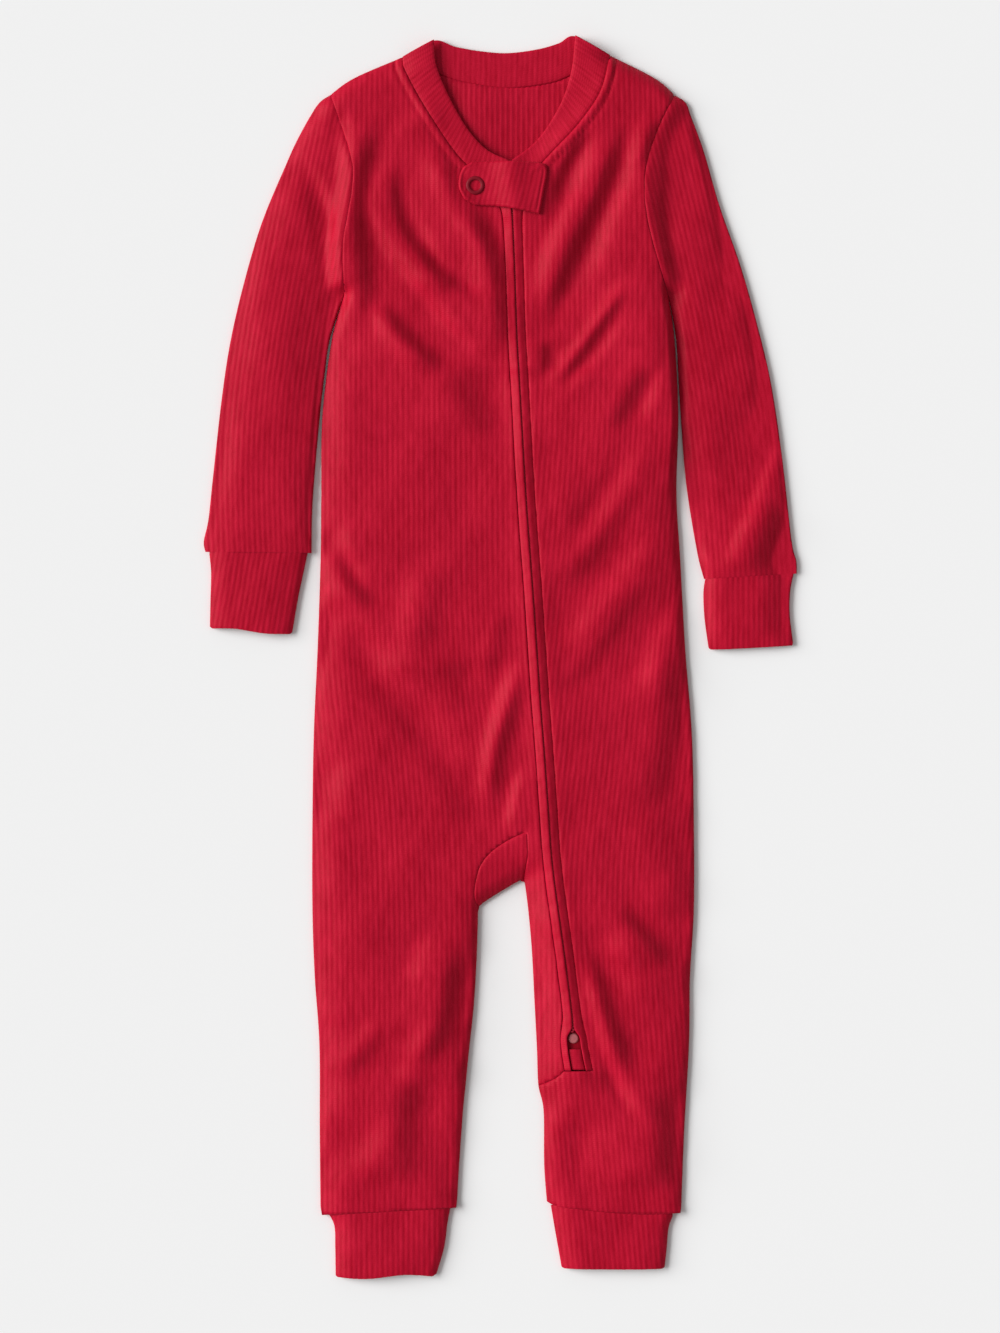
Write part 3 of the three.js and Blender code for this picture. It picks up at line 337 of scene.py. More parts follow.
def raised(table):
    """The heights that a table of slopes gives, as a grid of values over a fixed span."""
    xs = np.arange(-162, 162, SLOPE_STEP)
    ys = np.arange(-326, 326, 2 * SLOPE_STEP)
    x, y = np.meshgrid(xs, ys)
    slope = np.zeros(x.shape)
    for places, steep, half in table:
        points = spline([place(*p) for p in places], 4)
        low, high = points.min(axis=0) - 2.6 * half, points.max(axis=0) + 2.6 * half
        i0, i1 = np.searchsorted(xs, [low[0], high[0]])
        j0, j1 = np.searchsorted(ys, [low[1], high[1]])
        distance, _, _, along, _ = nearest(points, x[j0:j1, i0:i1], y[j0:j1, i0:i1])
        taper = smoothstep(0.12 + along / 0.3) * smoothstep(0.12 + (1 - along) / 0.3)
        slope[j0:j1, i0:i1] += steep * taper * np.exp(-((distance / half) ** 2))
    keep = math.exp(-SLOPE_STEP / SLOPE_DECAY)
    height = np.zeros(x.shape)
    for columns, sign in ((range(len(xs)), 0.5), (range(len(xs) - 1, -1, -1), -0.5)):
        run = np.zeros(len(ys))
        for i in columns:
            run = run * keep + slope[:, i] * SLOPE_STEP
            height[:, i] += sign * run
    return height


def folds(height, x, y):
    """The folds' height at places."""
    across = np.clip((np.asarray(x, float) + 162) / SLOPE_STEP, 0, height.shape[1] - 1.001)
    up = np.clip((np.asarray(y, float) + 326) / (2 * SLOPE_STEP), 0, height.shape[0] - 1.001)
    i, j = across.astype(int), up.astype(int)
    s, t = across - i, up - j
    low = height[j, i] * (1 - s) + height[j, i + 1] * s
    high = height[j + 1, i] * (1 - s) + height[j + 1, i + 1] * s
    return low * (1 - t) + high * t


BODY_FOLDS = raised(BODY_SLOPES)
SLEEVE_FOLDS = raised(SLEEVE_SLOPES)


# Slow ripples that any laid cloth has: wave lengths in mm across and along, a phase and a height
RIPPLES = [(61, 83, 0.4, 0.22), (-47, 96, 2.1, 0.2), (33, 120, 4, 0.14), (-29, 41, 1.2, 0.1), (150, 37, 5, 0.12)]


def ripples(x, y):
    return sum(h * np.sin(2 * math.pi * (x / across + y / along) + phase) for across, along, phase, h in RIPPLES)


def rib(u, relief=RIB_RELIEF):
    """The rib's relief at a place across the ribs, with round crests and narrow valleys, below 0."""
    wave = 0.5 - 0.5 * np.cos(2 * math.pi * u / RIB_PITCH)
    return relief * (wave**0.7 - 1)


def arc(inward, radius):
    t = np.clip(inward / radius, 0, 1)
    return np.sqrt(1 - (1 - t) ** 2)


def zip_ridge(x, y):
    ends = smoothstep((y + 232) / 30) * smoothstep((290 - y) / 30)
    return ZIP_RIDGE * ends * np.exp(-(((x - zip_x(y)) / ZIP_SPREAD) ** 2))


def body_inward(x, y):
    sign = np.where(inside(body_reach, x, y), 1, -1)
    return sign * distance_to(body_edges, x, y)


def crown(lines, inward, x, y, steeper=0):
    """From 0 at a folded edge to 1 past its round, which is wider where it faces the viewer's left."""
    found = [nearest(points, x, y) for points in lines]
    best = np.argmin([f[0] for f in found], axis=0)
    near_x = np.choose(best, [f[1] for f in found])
    lean = np.clip((x - near_x) / np.maximum(np.abs(inward), 0.5), -1, 1)
    radius = ROUND["middle"] + ROUND["lean"] * lean
    share = np.minimum(1, 0.65 + 0.3 * lean + steeper * np.clip(-lean, 0, 1))
    steep = 1 - (1 - np.clip(inward / radius, 0, 1)) ** 1.8
    gentle = 1 - (1 - np.clip(inward / ROUND["reach"], 0, 1)) ** 2
    return share * steep + (1 - share) * gentle


FRONT_EDGE = 1.6
BODY_DOME = 1.8


def under_tab(x, y):
    return smoothstep((34 - np.abs(x - 2)) / 14) * smoothstep((24 - np.abs(y - 243)) / 12)


def body_top(x, y):
    inward = body_inward(x, y)
    rise = folds(BODY_FOLDS, x, y) * smoothstep(inward / 5) * (1 - 0.6 * under_tab(x, y)) + zip_ridge(x, y)
    flow = ripples(x, y) * smoothstep(inward / 12)
    dome = BODY_DOME * (1 - ((x - 3) / 97) ** 2).clip(0, 1) * smoothstep((y + 286) / 70)
    beside_sleeve = smoothstep((y - 60) / 60) * smoothstep(x / 20)
    swell = (0.8 + 2.5 * smoothstep((x - 35) / 45) * smoothstep((285 - y) / 50)) * beside_sleeve
    rim_rise = (BODY_CREST - FRONT_EDGE + dome + swell) * crown(body_edges, inward, x, y, 0.6 * beside_sleeve)
    return np.maximum(FRONT_EDGE + rim_rise + rise + flow, FRONT_EDGE + 0.15 * inward.clip(0, 4))


# Mesh making
def grid_cells(outline, drift, columns, row):
    """A grid along the ribs, cut to an outline: its places, the phase across the ribs, its cells, and
    which places are on the outline. Cells are the grid's, with their outer places on the outline."""
    drift_y, drift_x = drift
    step = RIB_PITCH / columns
    low, high = outline.min(axis=0), outline.max(axis=0)
    rows = np.linspace(high[1] + row, low[1] - row, int((high[1] - low[1]) / row) + 3)
    first = math.floor((low[0] - max(drift_x)) / step) - 2
    last = math.ceil((high[0] - min(drift_x)) / step) + 2
    u, y = np.meshgrid(np.arange(first, last + 1) * step, rows)
    x = u + lookup(drift_y, drift_x, y)
    loop = np.concatenate([outline, outline[:1]])
    distance, near_x, near_y, _, _ = nearest(loop, x, y)
    within = inside(outline, x, y) & (distance > 0.35 * step)
    count = x.shape[1]
    index = np.arange(x.size).reshape(x.shape)
    a, b = index[:-1, :-1].ravel(), index[:-1, 1:].ravel()
    c, d = index[1:, 1:].ravel(), index[1:, :-1].ravel()
    flat = within.ravel()
    keep = flat[a] | flat[b] | flat[c] | flat[d]
    cells = np.stack([a, d, c, b], axis=1)[keep]
    used = np.unique(cells)
    renumber = np.full(x.size, -1)
    renumber[used] = np.arange(used.size)
    px = np.where(flat, x.ravel(), near_x.ravel())[used]
    py = np.where(flat, y.ravel(), near_y.ravel())[used]
    pu = px - lookup(drift_y, drift_x, py)
    return px, py, pu, renumber[cells], ~flat[used]


def rim(cells):
    """The edges that only one cell has, in that cell's order."""
    edges = np.concatenate([cells[:, [i, (i + 1) % 4]] for i in range(4)])
    edges = edges[edges[:, 0] != edges[:, 1]]
    size = int(cells.max()) + 1
    keys = edges[:, 0] * size + edges[:, 1]
    back = edges[:, 1] * size + edges[:, 0]
    return edges[~np.isin(keys, back)]


pieces = {}


def make(name, points, cells, uv, material, nodes, smooth=True, merge=0.02):
    """A piece from places in mm and its cells, with places closer than merge joined."""
    points = np.asarray(points, float)
    name += "_look"
    mesh = bpy.data.meshes.new(name)
    scaled = points * MM + np.array([SHIFT[0], SHIFT[1], 0])
    cells = np.asarray(cells)
    sides = cells.shape[1]
    mesh.vertices.add(len(scaled))
    mesh.vertices.foreach_set("co", scaled.ravel())
    mesh.loops.add(cells.size)
    mesh.loops.foreach_set("vertex_index", cells.ravel().astype(np.int32))
    mesh.polygons.add(len(cells))
    mesh.polygons.foreach_set("loop_start", np.arange(0, cells.size, sides, dtype=np.int32))
    mesh.update(calc_edges=True)
    layer = mesh.uv_layers.new(name="cloth")
    layer.data.foreach_set("uv", np.asarray(uv, float)[cells.ravel()].ravel())
    work = bmesh.new()
    work.from_mesh(mesh)
    bmesh.ops.remove_doubles(work, verts=work.verts, dist=merge * MM)
    bmesh.ops.dissolve_degenerate(work, edges=work.edges, dist=1e-7)
    for face in work.faces:
        face.smooth = smooth
    work.to_mesh(mesh)
    work.free()
    mesh.materials.append(material)
    piece = bpy.data.objects.new(name, mesh)
    bpy.context.scene.collection.objects.link(piece)
    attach(piece, "root")
    if nodes:
        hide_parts(*nodes)
    pieces[name] = piece
    return piece


def shell(name, outline, drift, top, under, material, columns=4, row=2.2, slot="rib_cloth", relief=RIB_RELIEF):
    """A closed shell of cloth over an outline, ribbed on its upper side."""
    x, y, u, cells, _ = grid_cells(outline, drift, columns, row)
    count = len(x)
    upper = np.stack([x, y, top(x, y) + rib(u, relief)], axis=1)
    lower = np.stack([x, y, np.minimum(under(x, y), upper[:, 2] - 0.25)], axis=1)
    edge = rim(cells)
    walls = np.stack([edge[:, 1], edge[:, 0], edge[:, 0] + count, edge[:, 1] + count], axis=1)
    every = np.concatenate([cells, cells[:, ::-1] + count, walls])
    uv = np.stack([u, y], axis=1) / 10
    return make(name, np.concatenate([upper, lower]), every, np.concatenate([uv, uv]), material, [name])


# Materials
def socket(node, name, value):
    node.inputs[name].default_value = value


def cloth_material(name, dark, light, rough=0.5, valley_shade=0.2):
    """Rib knit: rows of fine loops along each rib, streaks along the ribs, slow changes of colour, and painted shade
    that darkens the rib valleys.
    """
    mat = bpy.data.materials.new(name)
    mat.use_nodes = True
    nodes, links = mat.node_tree.nodes, mat.node_tree.links
    shader = nodes["Principled BSDF"]
    socket(shader, "Roughness", rough)
    socket(shader, "Sheen Weight", 0.04)
    socket(shader, "Sheen Roughness", 0.4)
    socket(shader, "Sheen Tint", (1.0, 0.6, 0.65, 1))
    socket(shader, "Specular IOR Level", 0.07)

    def calculate(kind, *values):
        node = nodes.new("ShaderNodeMath")
        node.operation = kind
        for i, value in enumerate(values):
            if isinstance(value, (int, float)):
                node.inputs[i].default_value = value
            else:
                links.new(value, node.inputs[i])
        return node.outputs[0]

    def noise(vector, scale, detail):
        node = nodes.new("ShaderNodeTexNoise")
        socket(node, "Scale", scale)
        socket(node, "Detail", detail)
        links.new(vector, node.inputs["Vector"])
        return calculate("SUBTRACT", node.outputs["Fac"], 0.5)

    uv = nodes.new("ShaderNodeUVMap")
    uv.uv_map = "cloth"
    split = nodes.new("ShaderNodeSeparateXYZ")
    links.new(uv.outputs[0], split.inputs[0])
    place_of = nodes.new("ShaderNodeTexCoord").outputs["Object"]
    across = calculate("MULTIPLY", split.outputs[0], 10 / RIB_PITCH)
    along = calculate("MULTIPLY", split.outputs[1], 10)
    crest = calculate("MULTIPLY", calculate("COSINE", calculate("MULTIPLY", across, 2 * math.pi)), -0.5)
    lean = calculate("ABSOLUTE", calculate("SINE", calculate("MULTIPLY", across, math.pi)))
    turns = calculate("ADD", calculate("MULTIPLY", along, 2 * math.pi / 1.05), calculate("MULTIPLY", lean, -2.4))
    loops = calculate("SINE", turns)
    stretched = nodes.new("ShaderNodeCombineXYZ")
    links.new(calculate("MULTIPLY", across, 1.3), stretched.inputs[0])
    links.new(calculate("MULTIPLY", along, 1 / 11), stretched.inputs[1])
    streaks = noise(stretched.outputs[0], 1.0, 2.5)
    slow = noise(place_of, 22.0, 3.0)
    grain = noise(place_of, 1300.0, 2.0)
    # Painted shade: the colour is darker in the rib valleys and lighter on their crests.
    mix = calculate("MULTIPLY_ADD", crest, valley_shade, 0.5)
    mix = calculate("MULTIPLY_ADD", streaks, 1.0, mix)
    mix = calculate("MULTIPLY_ADD", slow, 0.5, mix)
    mix = calculate("MULTIPLY_ADD", grain, 0.5, mix)
    mix = calculate("MULTIPLY_ADD", loops, 0.05, mix)
    tint = nodes.new("ShaderNodeMix")
    tint.data_type = "RGBA"
    tint.clamp_factor = True
    links.new(mix, tint.inputs["Factor"])
    tint.inputs["A"].default_value = (*dark, 1)
    tint.inputs["B"].default_value = (*light, 1)
    links.new(tint.outputs["Result"], shader.inputs["Base Color"])
    height = calculate("MULTIPLY_ADD", loops, 0.1, calculate("MULTIPLY", crest, 0.14))
    height = calculate("MULTIPLY_ADD", grain, 0.5, height)
    height = calculate("MULTIPLY_ADD", streaks, 0.6, height)
    bump = nodes.new("ShaderNodeBump")
    socket(bump, "Strength", 0.5)
    socket(bump, "Distance", 0.0003)
    links.new(height, bump.inputs["Height"])
    links.new(bump.outputs[0], shader.inputs["Normal"])
    return mat


rib_knit = cloth_material("rib_knit", (0.33, 0.0004, 0.012), (0.56, 0.009, 0.038))


def enamel_material(name, colour, rough, metallic):
    mat = bpy.data.materials.new(name)
    mat.use_nodes = True
    nodes, links = mat.node_tree.nodes, mat.node_tree.links
    shader = nodes["Principled BSDF"]
    socket(shader, "Metallic", metallic)
    socket(shader, "Specular IOR Level", 0.2)
    noise = nodes.new("ShaderNodeTexNoise")
    socket(noise, "Scale", 700.0)
    where = nodes.new("ShaderNodeTexCoord")
    links.new(where.outputs["Object"], noise.inputs["Vector"])
    tint = nodes.new("ShaderNodeMix")
    tint.data_type = "RGBA"
    tint.inputs["A"].default_value = (*[c * 0.8 for c in colour], 1)
    tint.inputs["B"].default_value = (*[min(1, c * 1.15) for c in colour], 1)
    links.new(noise.outputs["Fac"], tint.inputs["Factor"])
    links.new(tint.outputs["Result"], shader.inputs["Base Color"])
    spread = nodes.new("ShaderNodeMapRange")
    socket(spread, "To Min", rough * 0.8)
    socket(spread, "To Max", rough * 1.25)
    links.new(noise.outputs["Fac"], spread.inputs["Value"])
    links.new(spread.outputs["Result"], shader.inputs["Roughness"])
    return mat


snap_enamel = enamel_material("snap_enamel", (0.2, 0.0015, 0.011), 0.55, 0.0)
stop_metal = enamel_material("stop_metal", (0.5, 0.14, 0.15), 0.5, 0.15)
coil_nylon = enamel_material("coil_nylon", (0.42, 0.02, 0.04), 0.5, 0.0)
tape_weave = cloth_material("tape_weave", (0.2, 0.001, 0.008), (0.36, 0.003, 0.016), rough=0.6)

# How far the ribs drift to the viewer's right, by level: levels, then distances
RIB_DRIFT = {
    "right": ([325, 80, 0, -110, -325], [0, 0, 2, 11, 12]),
    "left": ([325, 150, 60, -40, -120, -200, -325], [0, 2, -3, -12, -19, -15, -4]),
    "sleeve_right": ([300, 130, 0], [0, -30, -27]),
    "sleeve_left": ([300, 180, 100, 0], [0, 27, 40, 47]),
    "cuff_right": ([60, 0], [0, -10]),
    "leg_cuff_left": ([-270, -325], [0, 5]),
    "tab": ([265, 220], [0, -10]),
    "straight": ([325, -325], [0, 0]),
}

# Front panels and gusset: each turns down at its own seams, by a depth over a width, so that two
# pieces meet in a soft groove. A neck seam also has a stitched strip beside it.
STRIP = {"wide": 4.2, "rise": 0.45, "groove": 0.75, "half": 0.75}


def turned_down(seams, x, y):
    return -sum(depth * (1 - arc(nearest(line, x, y)[0], wide)) for line, depth, wide in seams)


def neck_strip(line, x, y):
    away = nearest(line, x, y)[0]
    strip = STRIP["rise"] * smoothstep(away / 1.5) * smoothstep((STRIP["wide"] - away) / 1.2)
    return strip - STRIP["groove"] * np.exp(-(((away - STRIP["wide"]) / STRIP["half"]) ** 2))


def front(name, outline, drift, seams, neck=None, **more):
    def top(x, y):
        z = body_top(x, y) + turned_down(seams, x, y)
        if neck is not None:
            z = z + neck_strip(neck, x, y)
        return np.maximum(z, FRONT_EDGE)

    def under(x, y):
        return np.maximum(FRONT_EDGE - 0.1, top(x, y) - CLOTH)

    piece = shell(name, outline, RIB_DRIFT[drift], top, under, rib_knit, **more)
    return piece


front(
    "front_right", front_right_outline, "right",
    [(panel_side(-1), 0.35, 1.4), (neck_right, 0.3, 1), (armhole_right, 0.3, 1.4), (hem_right, 0.3, 1.6),
     (gusset_top, 0.3, 1.2), (gusset_side, 0.25, 1.2), (tongue_seam, 0.25, 1.2)],
    neck_right,
)
front(
    "front_left", front_left_outline, "left",
    [(panel_side(1), 1.0, 5.4), (neck_left, 0.3, 1), (armhole_left, 0.3, 1.4), (hem_left, 0.3, 1.6),
     (tongue_seam, 0.25, 1.2)],
    neck_left,
)
gusset_outline = closed(gusset_top, gusset_side, crotch)
front("crotch_gusset", gusset_outline, "straight", [(gusset_top, 0.3, 1.2), (gusset_side, 0.25, 1.2)], row=1.6)

# Back panel: flat where it rests, rounded up at its folded edges, with its ribs on both sides
BACK_SLOPES = [
    ([(352, 190), (392, 265), (445, 335)], 0.16, 5),
    ([(368, 184), (408, 258), (461, 328)], -0.16, 5),
    ([(640, 190), (600, 262), (556, 340)], -0.16, 5),
    ([(624, 184), (584, 256), (540, 334)], 0.16, 5),
    ([(345, 560), (400, 640), (470, 720)], 0.13, 6),
    ([(362, 552), (417, 632), (487, 712)], -0.13, 6),
    ([(655, 540), (600, 625), (545, 700)], -0.13, 6),
    ([(638, 532), (583, 617), (528, 692)], 0.13, 6),
    ([(430, 940), (400, 1010), (372, 1080)], -0.14, 5),
    ([(414, 932), (384, 1002), (356, 1072)], 0.14, 5),
    ([(585, 950), (612, 1020), (640, 1090)], 0.14, 5),
    ([(601, 944), (628, 1014), (656, 1084)], -0.14, 5),
]
BACK_FOLDS = raised(BACK_SLOPES)


def back_fold(x, y):
    crease = np.clip(folds(BACK_FOLDS, x, y), 0, 1.4) * smoothstep((body_inward(x, y) - 4) / 14)
    inside_neck = 1.8 * np.exp(-(((x + 12) / 16) ** 2) - ((y - 281) / 18) ** 2)
    return crease + inside_neck


def back_low(x, y):
    inward = body_inward(x, y)
    return 0.9 * (1 - arc(inward, 4))


back_x, back_y, back_u, back_cells, _ = grid_cells(body_outline, RIB_DRIFT["straight"], 3, 3.0)
back_lift = back_fold(back_x, back_y)
back_high = 1.2 + rib(back_u, 0.3) + 0.2 * (1 - arc(body_inward(back_x, back_y), 4)) + back_lift
back_inside = np.stack([back_x, back_y, back_high], axis=1)
back_outside = np.stack([back_x, back_y, back_low(back_x, back_y) - rib(back_u, 0.3) + back_lift], axis=1)
back_edge = rim(back_cells)
back_count = len(back_x)
back_walls = np.stack(
    [back_edge[:, 1], back_edge[:, 0], back_edge[:, 0] + back_count, back_edge[:, 1] + back_count], axis=1
)
back_uv = np.stack([back_u, back_y], axis=1) / 10
back_panel = make(
    "back_panel", np.concatenate([back_inside, back_outside]),
    np.concatenate([back_cells, back_cells[:, ::-1] + back_count, back_walls]),
    np.concatenate([back_uv, back_uv]), rib_knit, ["back_panel"],
)


# Sleeves and cuffs: flattened tubes
def longer(points, by):
    a, b = points[0] - points[1], points[-1] - points[-2]
    return np.concatenate([
        [points[0] + a * by / np.linalg.norm(a)], points, [points[-1] + b * by / np.linalg.norm(b)],
    ])


def tube(name, outer, inner, upper_end, lower_end, drift, crest, radius, table, past=(), row=2.0, drop=(0.3, 1.4), meets=0, inner_kept=0):
    """The outer face of a flattened tube, open at both ends."""
    parts = [outer, lower_end, inner[::-1], upper_end[::-1]]
    outline = closed(*[np.array(p, float) for p in parts if len(p)])
    reach = closed(*[np.array(p, float) for p in [longer(outer, 9), longer(inner, 9)[::-1], past] if len(p)])
    x, y, u, cells, on_edge = grid_cells(outline, RIB_DRIFT[drift], 4, row)
    sign = np.where(inside(reach, x, y), 1, -1)
    inward = np.maximum(0, sign * distance_to([outer, inner], x, y))
    sides = distance_to([outer, inner], x, y) < 0.02
    middle = 1.5
    fold = folds(table, x, y)
    rise = fold * smoothstep(inward / 5) + ripples(x, y) * smoothstep(inward / 12)
    ends = [np.array(p, float) for p in (upper_end, lower_end) if len(p)]
    fall = -drop[0] * (1 - arc(distance_to(ends, x, y), drop[1])) if ends else 0
    over = crown([outer, inner], inward * ROUND["middle"] / radius, x, y)
    if inner_kept:
        over = np.maximum(over, inner_kept * crown([outer], nearest(outer, x, y)[0] * ROUND["middle"] / radius, x, y))
    high = middle + (crest - middle) * over + rise
    if meets:
        away, seam_x, seam_y = nearest(upper_end, x, y)[:3]
        at_seam = 1 - smoothstep((away - 0.4) / meets)
        high = high + (body_top(seam_x, seam_y) - high) * at_seam
    high = high + (rib(u) + fall) * arc(inward, 1.5)
    low = (middle + rib(u, 0.3)) * (1 - arc(inward, 3)) - rib(u, 0.3) * arc(inward, 3)
    low = low + 0.2 * np.clip(fold, 0, 3) * smoothstep((inward - 4) / 8)
    high = np.where(sides, middle, np.maximum(high, middle))
    low = np.where(sides, middle, np.maximum(low, 0))
    count = len(x)
    points = np.concatenate([np.stack([x, y, high], axis=1), np.stack([x, y, low], axis=1)])
    uv = np.stack([u, y], axis=1) / 10
    every = np.concatenate([cells, cells[:, ::-1] + count])
    piece = make(name, points, every, np.concatenate([uv, uv]), rib_knit, [name])
    return piece


sleeve_form = {"radius": 10, "table": SLEEVE_FOLDS, "lower_end": []}
tube(
    "sleeve_right", drift="sleeve_right",
    outer=spline([(-86.9, 290.8), (-92.6, 286.8), (-98, 278.6), (-104.2, 267.2), (-109, 256.7), (-122, 225.7), (-131.3, 194.7), (-138.5, 163.8),
                  (-143.2, 132.8), (-147.8, 91.5), (-150, 71), (-152.4, 60), (-151.5, 54.6)]),
    inner=spline([(-79.5, 188), (-87, 165), (-90, 145), (-92.3, 125), (-96, 81), (-96.6, 54)]),
    upper_end=armhole_right, past=[(-60, 240)], meets=10, inner_kept=0.4, crest=SLEEVE_CREST, **sleeve_form,
)
tube(
    "sleeve_left", drift="sleeve_left",
    outer=spline([(91.1, 290.6), (96.8, 286.8), (99.6, 279.5), (106, 262), (114.3, 233.4), (125.1, 202.5), (133.9, 171.5),
                  (141.1, 140.6), (146.8, 102), (151.5, 60.6), (154, 50), (154.2, 43.4)]),
    inner=spline([(87.5, 188), (91.7, 165), (93.6, 133), (96.8, 91.5), (102.5, 55.4), (106.2, 40.6)]),
    upper_end=armhole_left, past=[(60, 240)], meets=10, crest=2.9, **sleeve_form,
)

cuff_form = {"radius": 7, "row": 1.2}
tube(
    "sleeve_cuff_right", drift="cuff_right", table=SLEEVE_FOLDS, crest=4.1,
    outer=spline([(-149.6, 54.6), (-148.6, 44), (-148.9, 30), (-149.2, 16)]),
    inner=spline([(-98.6, 54), (-101.4, 41), (-103.5, 31), (-106.6, 13)]),
    upper_end=[], lower_end=spline([(-148, 15), (-136, 14.8), (-121, 12.4), (-108, 12.1)]), **cuff_form,
)
tube(
    "sleeve_cuff_left", drift="straight", table=SLEEVE_FOLDS, crest=3.3,
    outer=spline([(152.6, 43.3), (150.8, 34), (150.6, 22), (152.3, 7.4)]),
    inner=spline([(106.8, 40.6), (105.9, 33), (106.5, 20), (108.6, 4.8)]),
    upper_end=[], lower_end=spline([(151.8, 6.2), (136.5, 5.2), (119, 4.3), (110, 4.1)]), **cuff_form,
)
tube(
    "leg_cuff_right", drift="straight", table=BODY_FOLDS, crest=4.6,
    outer=spline([(-87.6, -287.8), (-84.8, -294), (-84.4, -305), (-84.2, -319.4)]),
    inner=spline([(-24.8, -284.4), (-26.3, -292), (-28.1, -305), (-32, -318.4)]),
    upper_end=[], lower_end=spline([(-83.2, -320.2), (-68, -320.9), (-49, -318.8), (-34, -319.7)]), **cuff_form,
)
tube(
    "leg_cuff_left", drift="leg_cuff_left", table=BODY_FOLDS, crest=4.6,
    outer=spline([(90.6, -287.7), (88, -294.5), (87, -305), (85.9, -315)]),
    inner=spline([(27, -283), (29.4, -297), (31, -306), (32.6, -315)]),
    upper_end=hem_left[(hem_left[:, 0] > 28) & (hem_left[:, 0] < 89.5)],
    lower_end=spline([(84.8, -315.8), (60, -316), (34, -315.7)]), **cuff_form,
)

# Collar: a folded band whose ribs run across it
COLLAR_TOP = 5.4
COLLAR_SHOULDER = 6.2


neck_line = np.concatenate([neck_right, neck_left[::-1]])


def collar_top(x, y):
    from_back = np.minimum(np.hypot(x + 42, y - 313.5), np.hypot(x - 49, y - 315))
    folded = COLLAR_SHOULDER + (COLLAR_TOP - COLLAR_SHOULDER) * smoothstep((from_back - 8) / 14) + zip_ridge(x, y)
    away, seam_x, seam_y = nearest(neck_line, x, y)[:3]
    at_seam = np.maximum(body_top(seam_x, seam_y), 4.3)
    return at_seam + (folded - at_seam) * smoothstep(away / 9)


def spaced(points, count, start=0.0, end=1.0):
    """Evenly spaced places along a line."""
    run = np.concatenate([[0], np.cumsum(np.linalg.norm(np.diff(points, axis=0), axis=1))])
    at = np.linspace(start, end, count + 1) * run[-1]
    return np.stack([np.interp(at, run, points[:, 0]), np.interp(at, run, points[:, 1])], axis=1)


def ring_cells(stations, around, ends=True):
    i, j = np.meshgrid(np.arange(stations - 1), np.arange(around), indexing="ij")
    a, b = i * around + j, i * around + (j + 1) % around
    cells = np.stack([a.ravel(), b.ravel(), (b + around).ravel(), (a + around).ravel()], axis=1)
    if ends:
        half = around // 2
        for start, flip in ((0, 1), ((stations - 1) * around, -1)):
            strip = [
                [start + k, start + around - 1 - k, start + around - 2 - k, start + k + 1][::flip]
                for k in range(half - 1)
            ]
            cells = np.concatenate([cells, np.array(strip)])
    return cells


def rounded(count, power):
    """Places round a rounded oblong, from -1 to 1 both ways, the first two on its left side."""
    angle = (np.arange(count) + 0.5) / count * 2 * math.pi
    flat = np.sign(np.cos(angle)) * np.abs(np.cos(angle)) ** (2 / power)
    high = np.sign(np.sin(angle)) * np.abs(np.sin(angle)) ** (2 / power)
    return -flat, high


def band(name, seam, fold, top, thick, material, start=0.0, end=1.0, columns=4, around=20, ribs=True, nodes=None, overlap=0.015):
    """A band of cloth between two lines, round at both, with its ribs across it."""
    run = np.sum(np.linalg.norm(np.diff(seam, axis=0), axis=1)) * (end - start)
    count = max(4, round(run / RIB_PITCH)) * columns
    a, b = spaced(seam, count, start, end), spaced(fold, count, start, end)
    across, high = rounded(around, 3.6)
    t = (across[None, :] * (1 + 2 * overlap) + 1) / 2
    x = a[:, 0:1] + (b[:, 0:1] - a[:, 0:1]) * t
    y = a[:, 1:2] + (b[:, 1:2] - a[:, 1:2]) * t
    phase = np.arange(count + 1)[:, None] * RIB_PITCH / columns
    relief = rib(phase + 0 * t, 0.04) * (0.5 + 0.5 * high)[None, :] if ribs else 0
    z = top(x, y) - thick / 2 + high[None, :] * thick / 2 + relief
    points = np.stack([x, y, z], axis=2).reshape(-1, 3)
    width = np.linalg.norm(b - a, axis=1).mean()
    uv = np.stack([phase + 0 * t, width * t + 0 * phase], axis=2).reshape(-1, 2) / 10
    cells = ring_cells(count + 1, around)
    piece = make(name, points, cells[:, ::-1], uv, material, nodes or [name])
    return piece


band("collar_front_right", neck_right, open_right, collar_top, 2.2, rib_knit, end=0.985)
band("collar_front_left", neck_left, open_left, collar_top, 2.2, rib_knit, end=0.985)
band("collar_back", back_neck, back_collar_top, lambda x, y: 1.95 + 0 * x, 1.9, rib_knit, start=0.05, end=0.95)

# Zip
zip_levels = np.concatenate([np.linspace(244.7, -180, 240), np.linspace(-181, -213, 24)])


BAND_FORM = {-1: {"lift": 0.7, "tilt": 1.0}, 1: {"lift": 0.05, "tilt": 0.7}}


def zip_band(name, side):
    """A folded band beside the slit. The right one leans up to the slit and the left one away from it."""
    around = 20
    across, high = rounded(around, 2.8)
    t = (across[None, :] * 1.05 + 1) / 2
    ys = zip_levels[:, None]
    slit = zip_slit(ys) * (SLIT_SHOWN + (1 - SLIT_SHOWN) * smoothstep((-190 - ys) / 6))
    wide = zip_slit(ys) + BAND_WIDTH - slit
    x = zip_x(ys) + side * (slit + t * wide)
    y = ys + 0 * t
    form = BAND_FORM[side]
    pucker = 0.1 * np.sin(2 * math.pi * ys / 9) + 0.08 * np.sin(2 * math.pi * ys / 5.7 + 1)
    fade = smoothstep((t - 0.02) / 0.25) * smoothstep((1.02 - t) / 0.2)
    round_top = body_top(x, y) + form["lift"] - form["tilt"] * t + pucker * fade
    z = round_top - 0.9 + high[None, :] * 0.9
    points = np.stack([x, y, z], axis=2).reshape(-1, 3)
    cells = ring_cells(len(zip_levels), around)
    cells = cells[:, ::-1] if side > 0 else cells
    uv = np.stack([x - zip_x(ys), y], axis=2).reshape(-1, 2) / 10
    piece = make(name, points, cells, uv, rib_knit, [name])


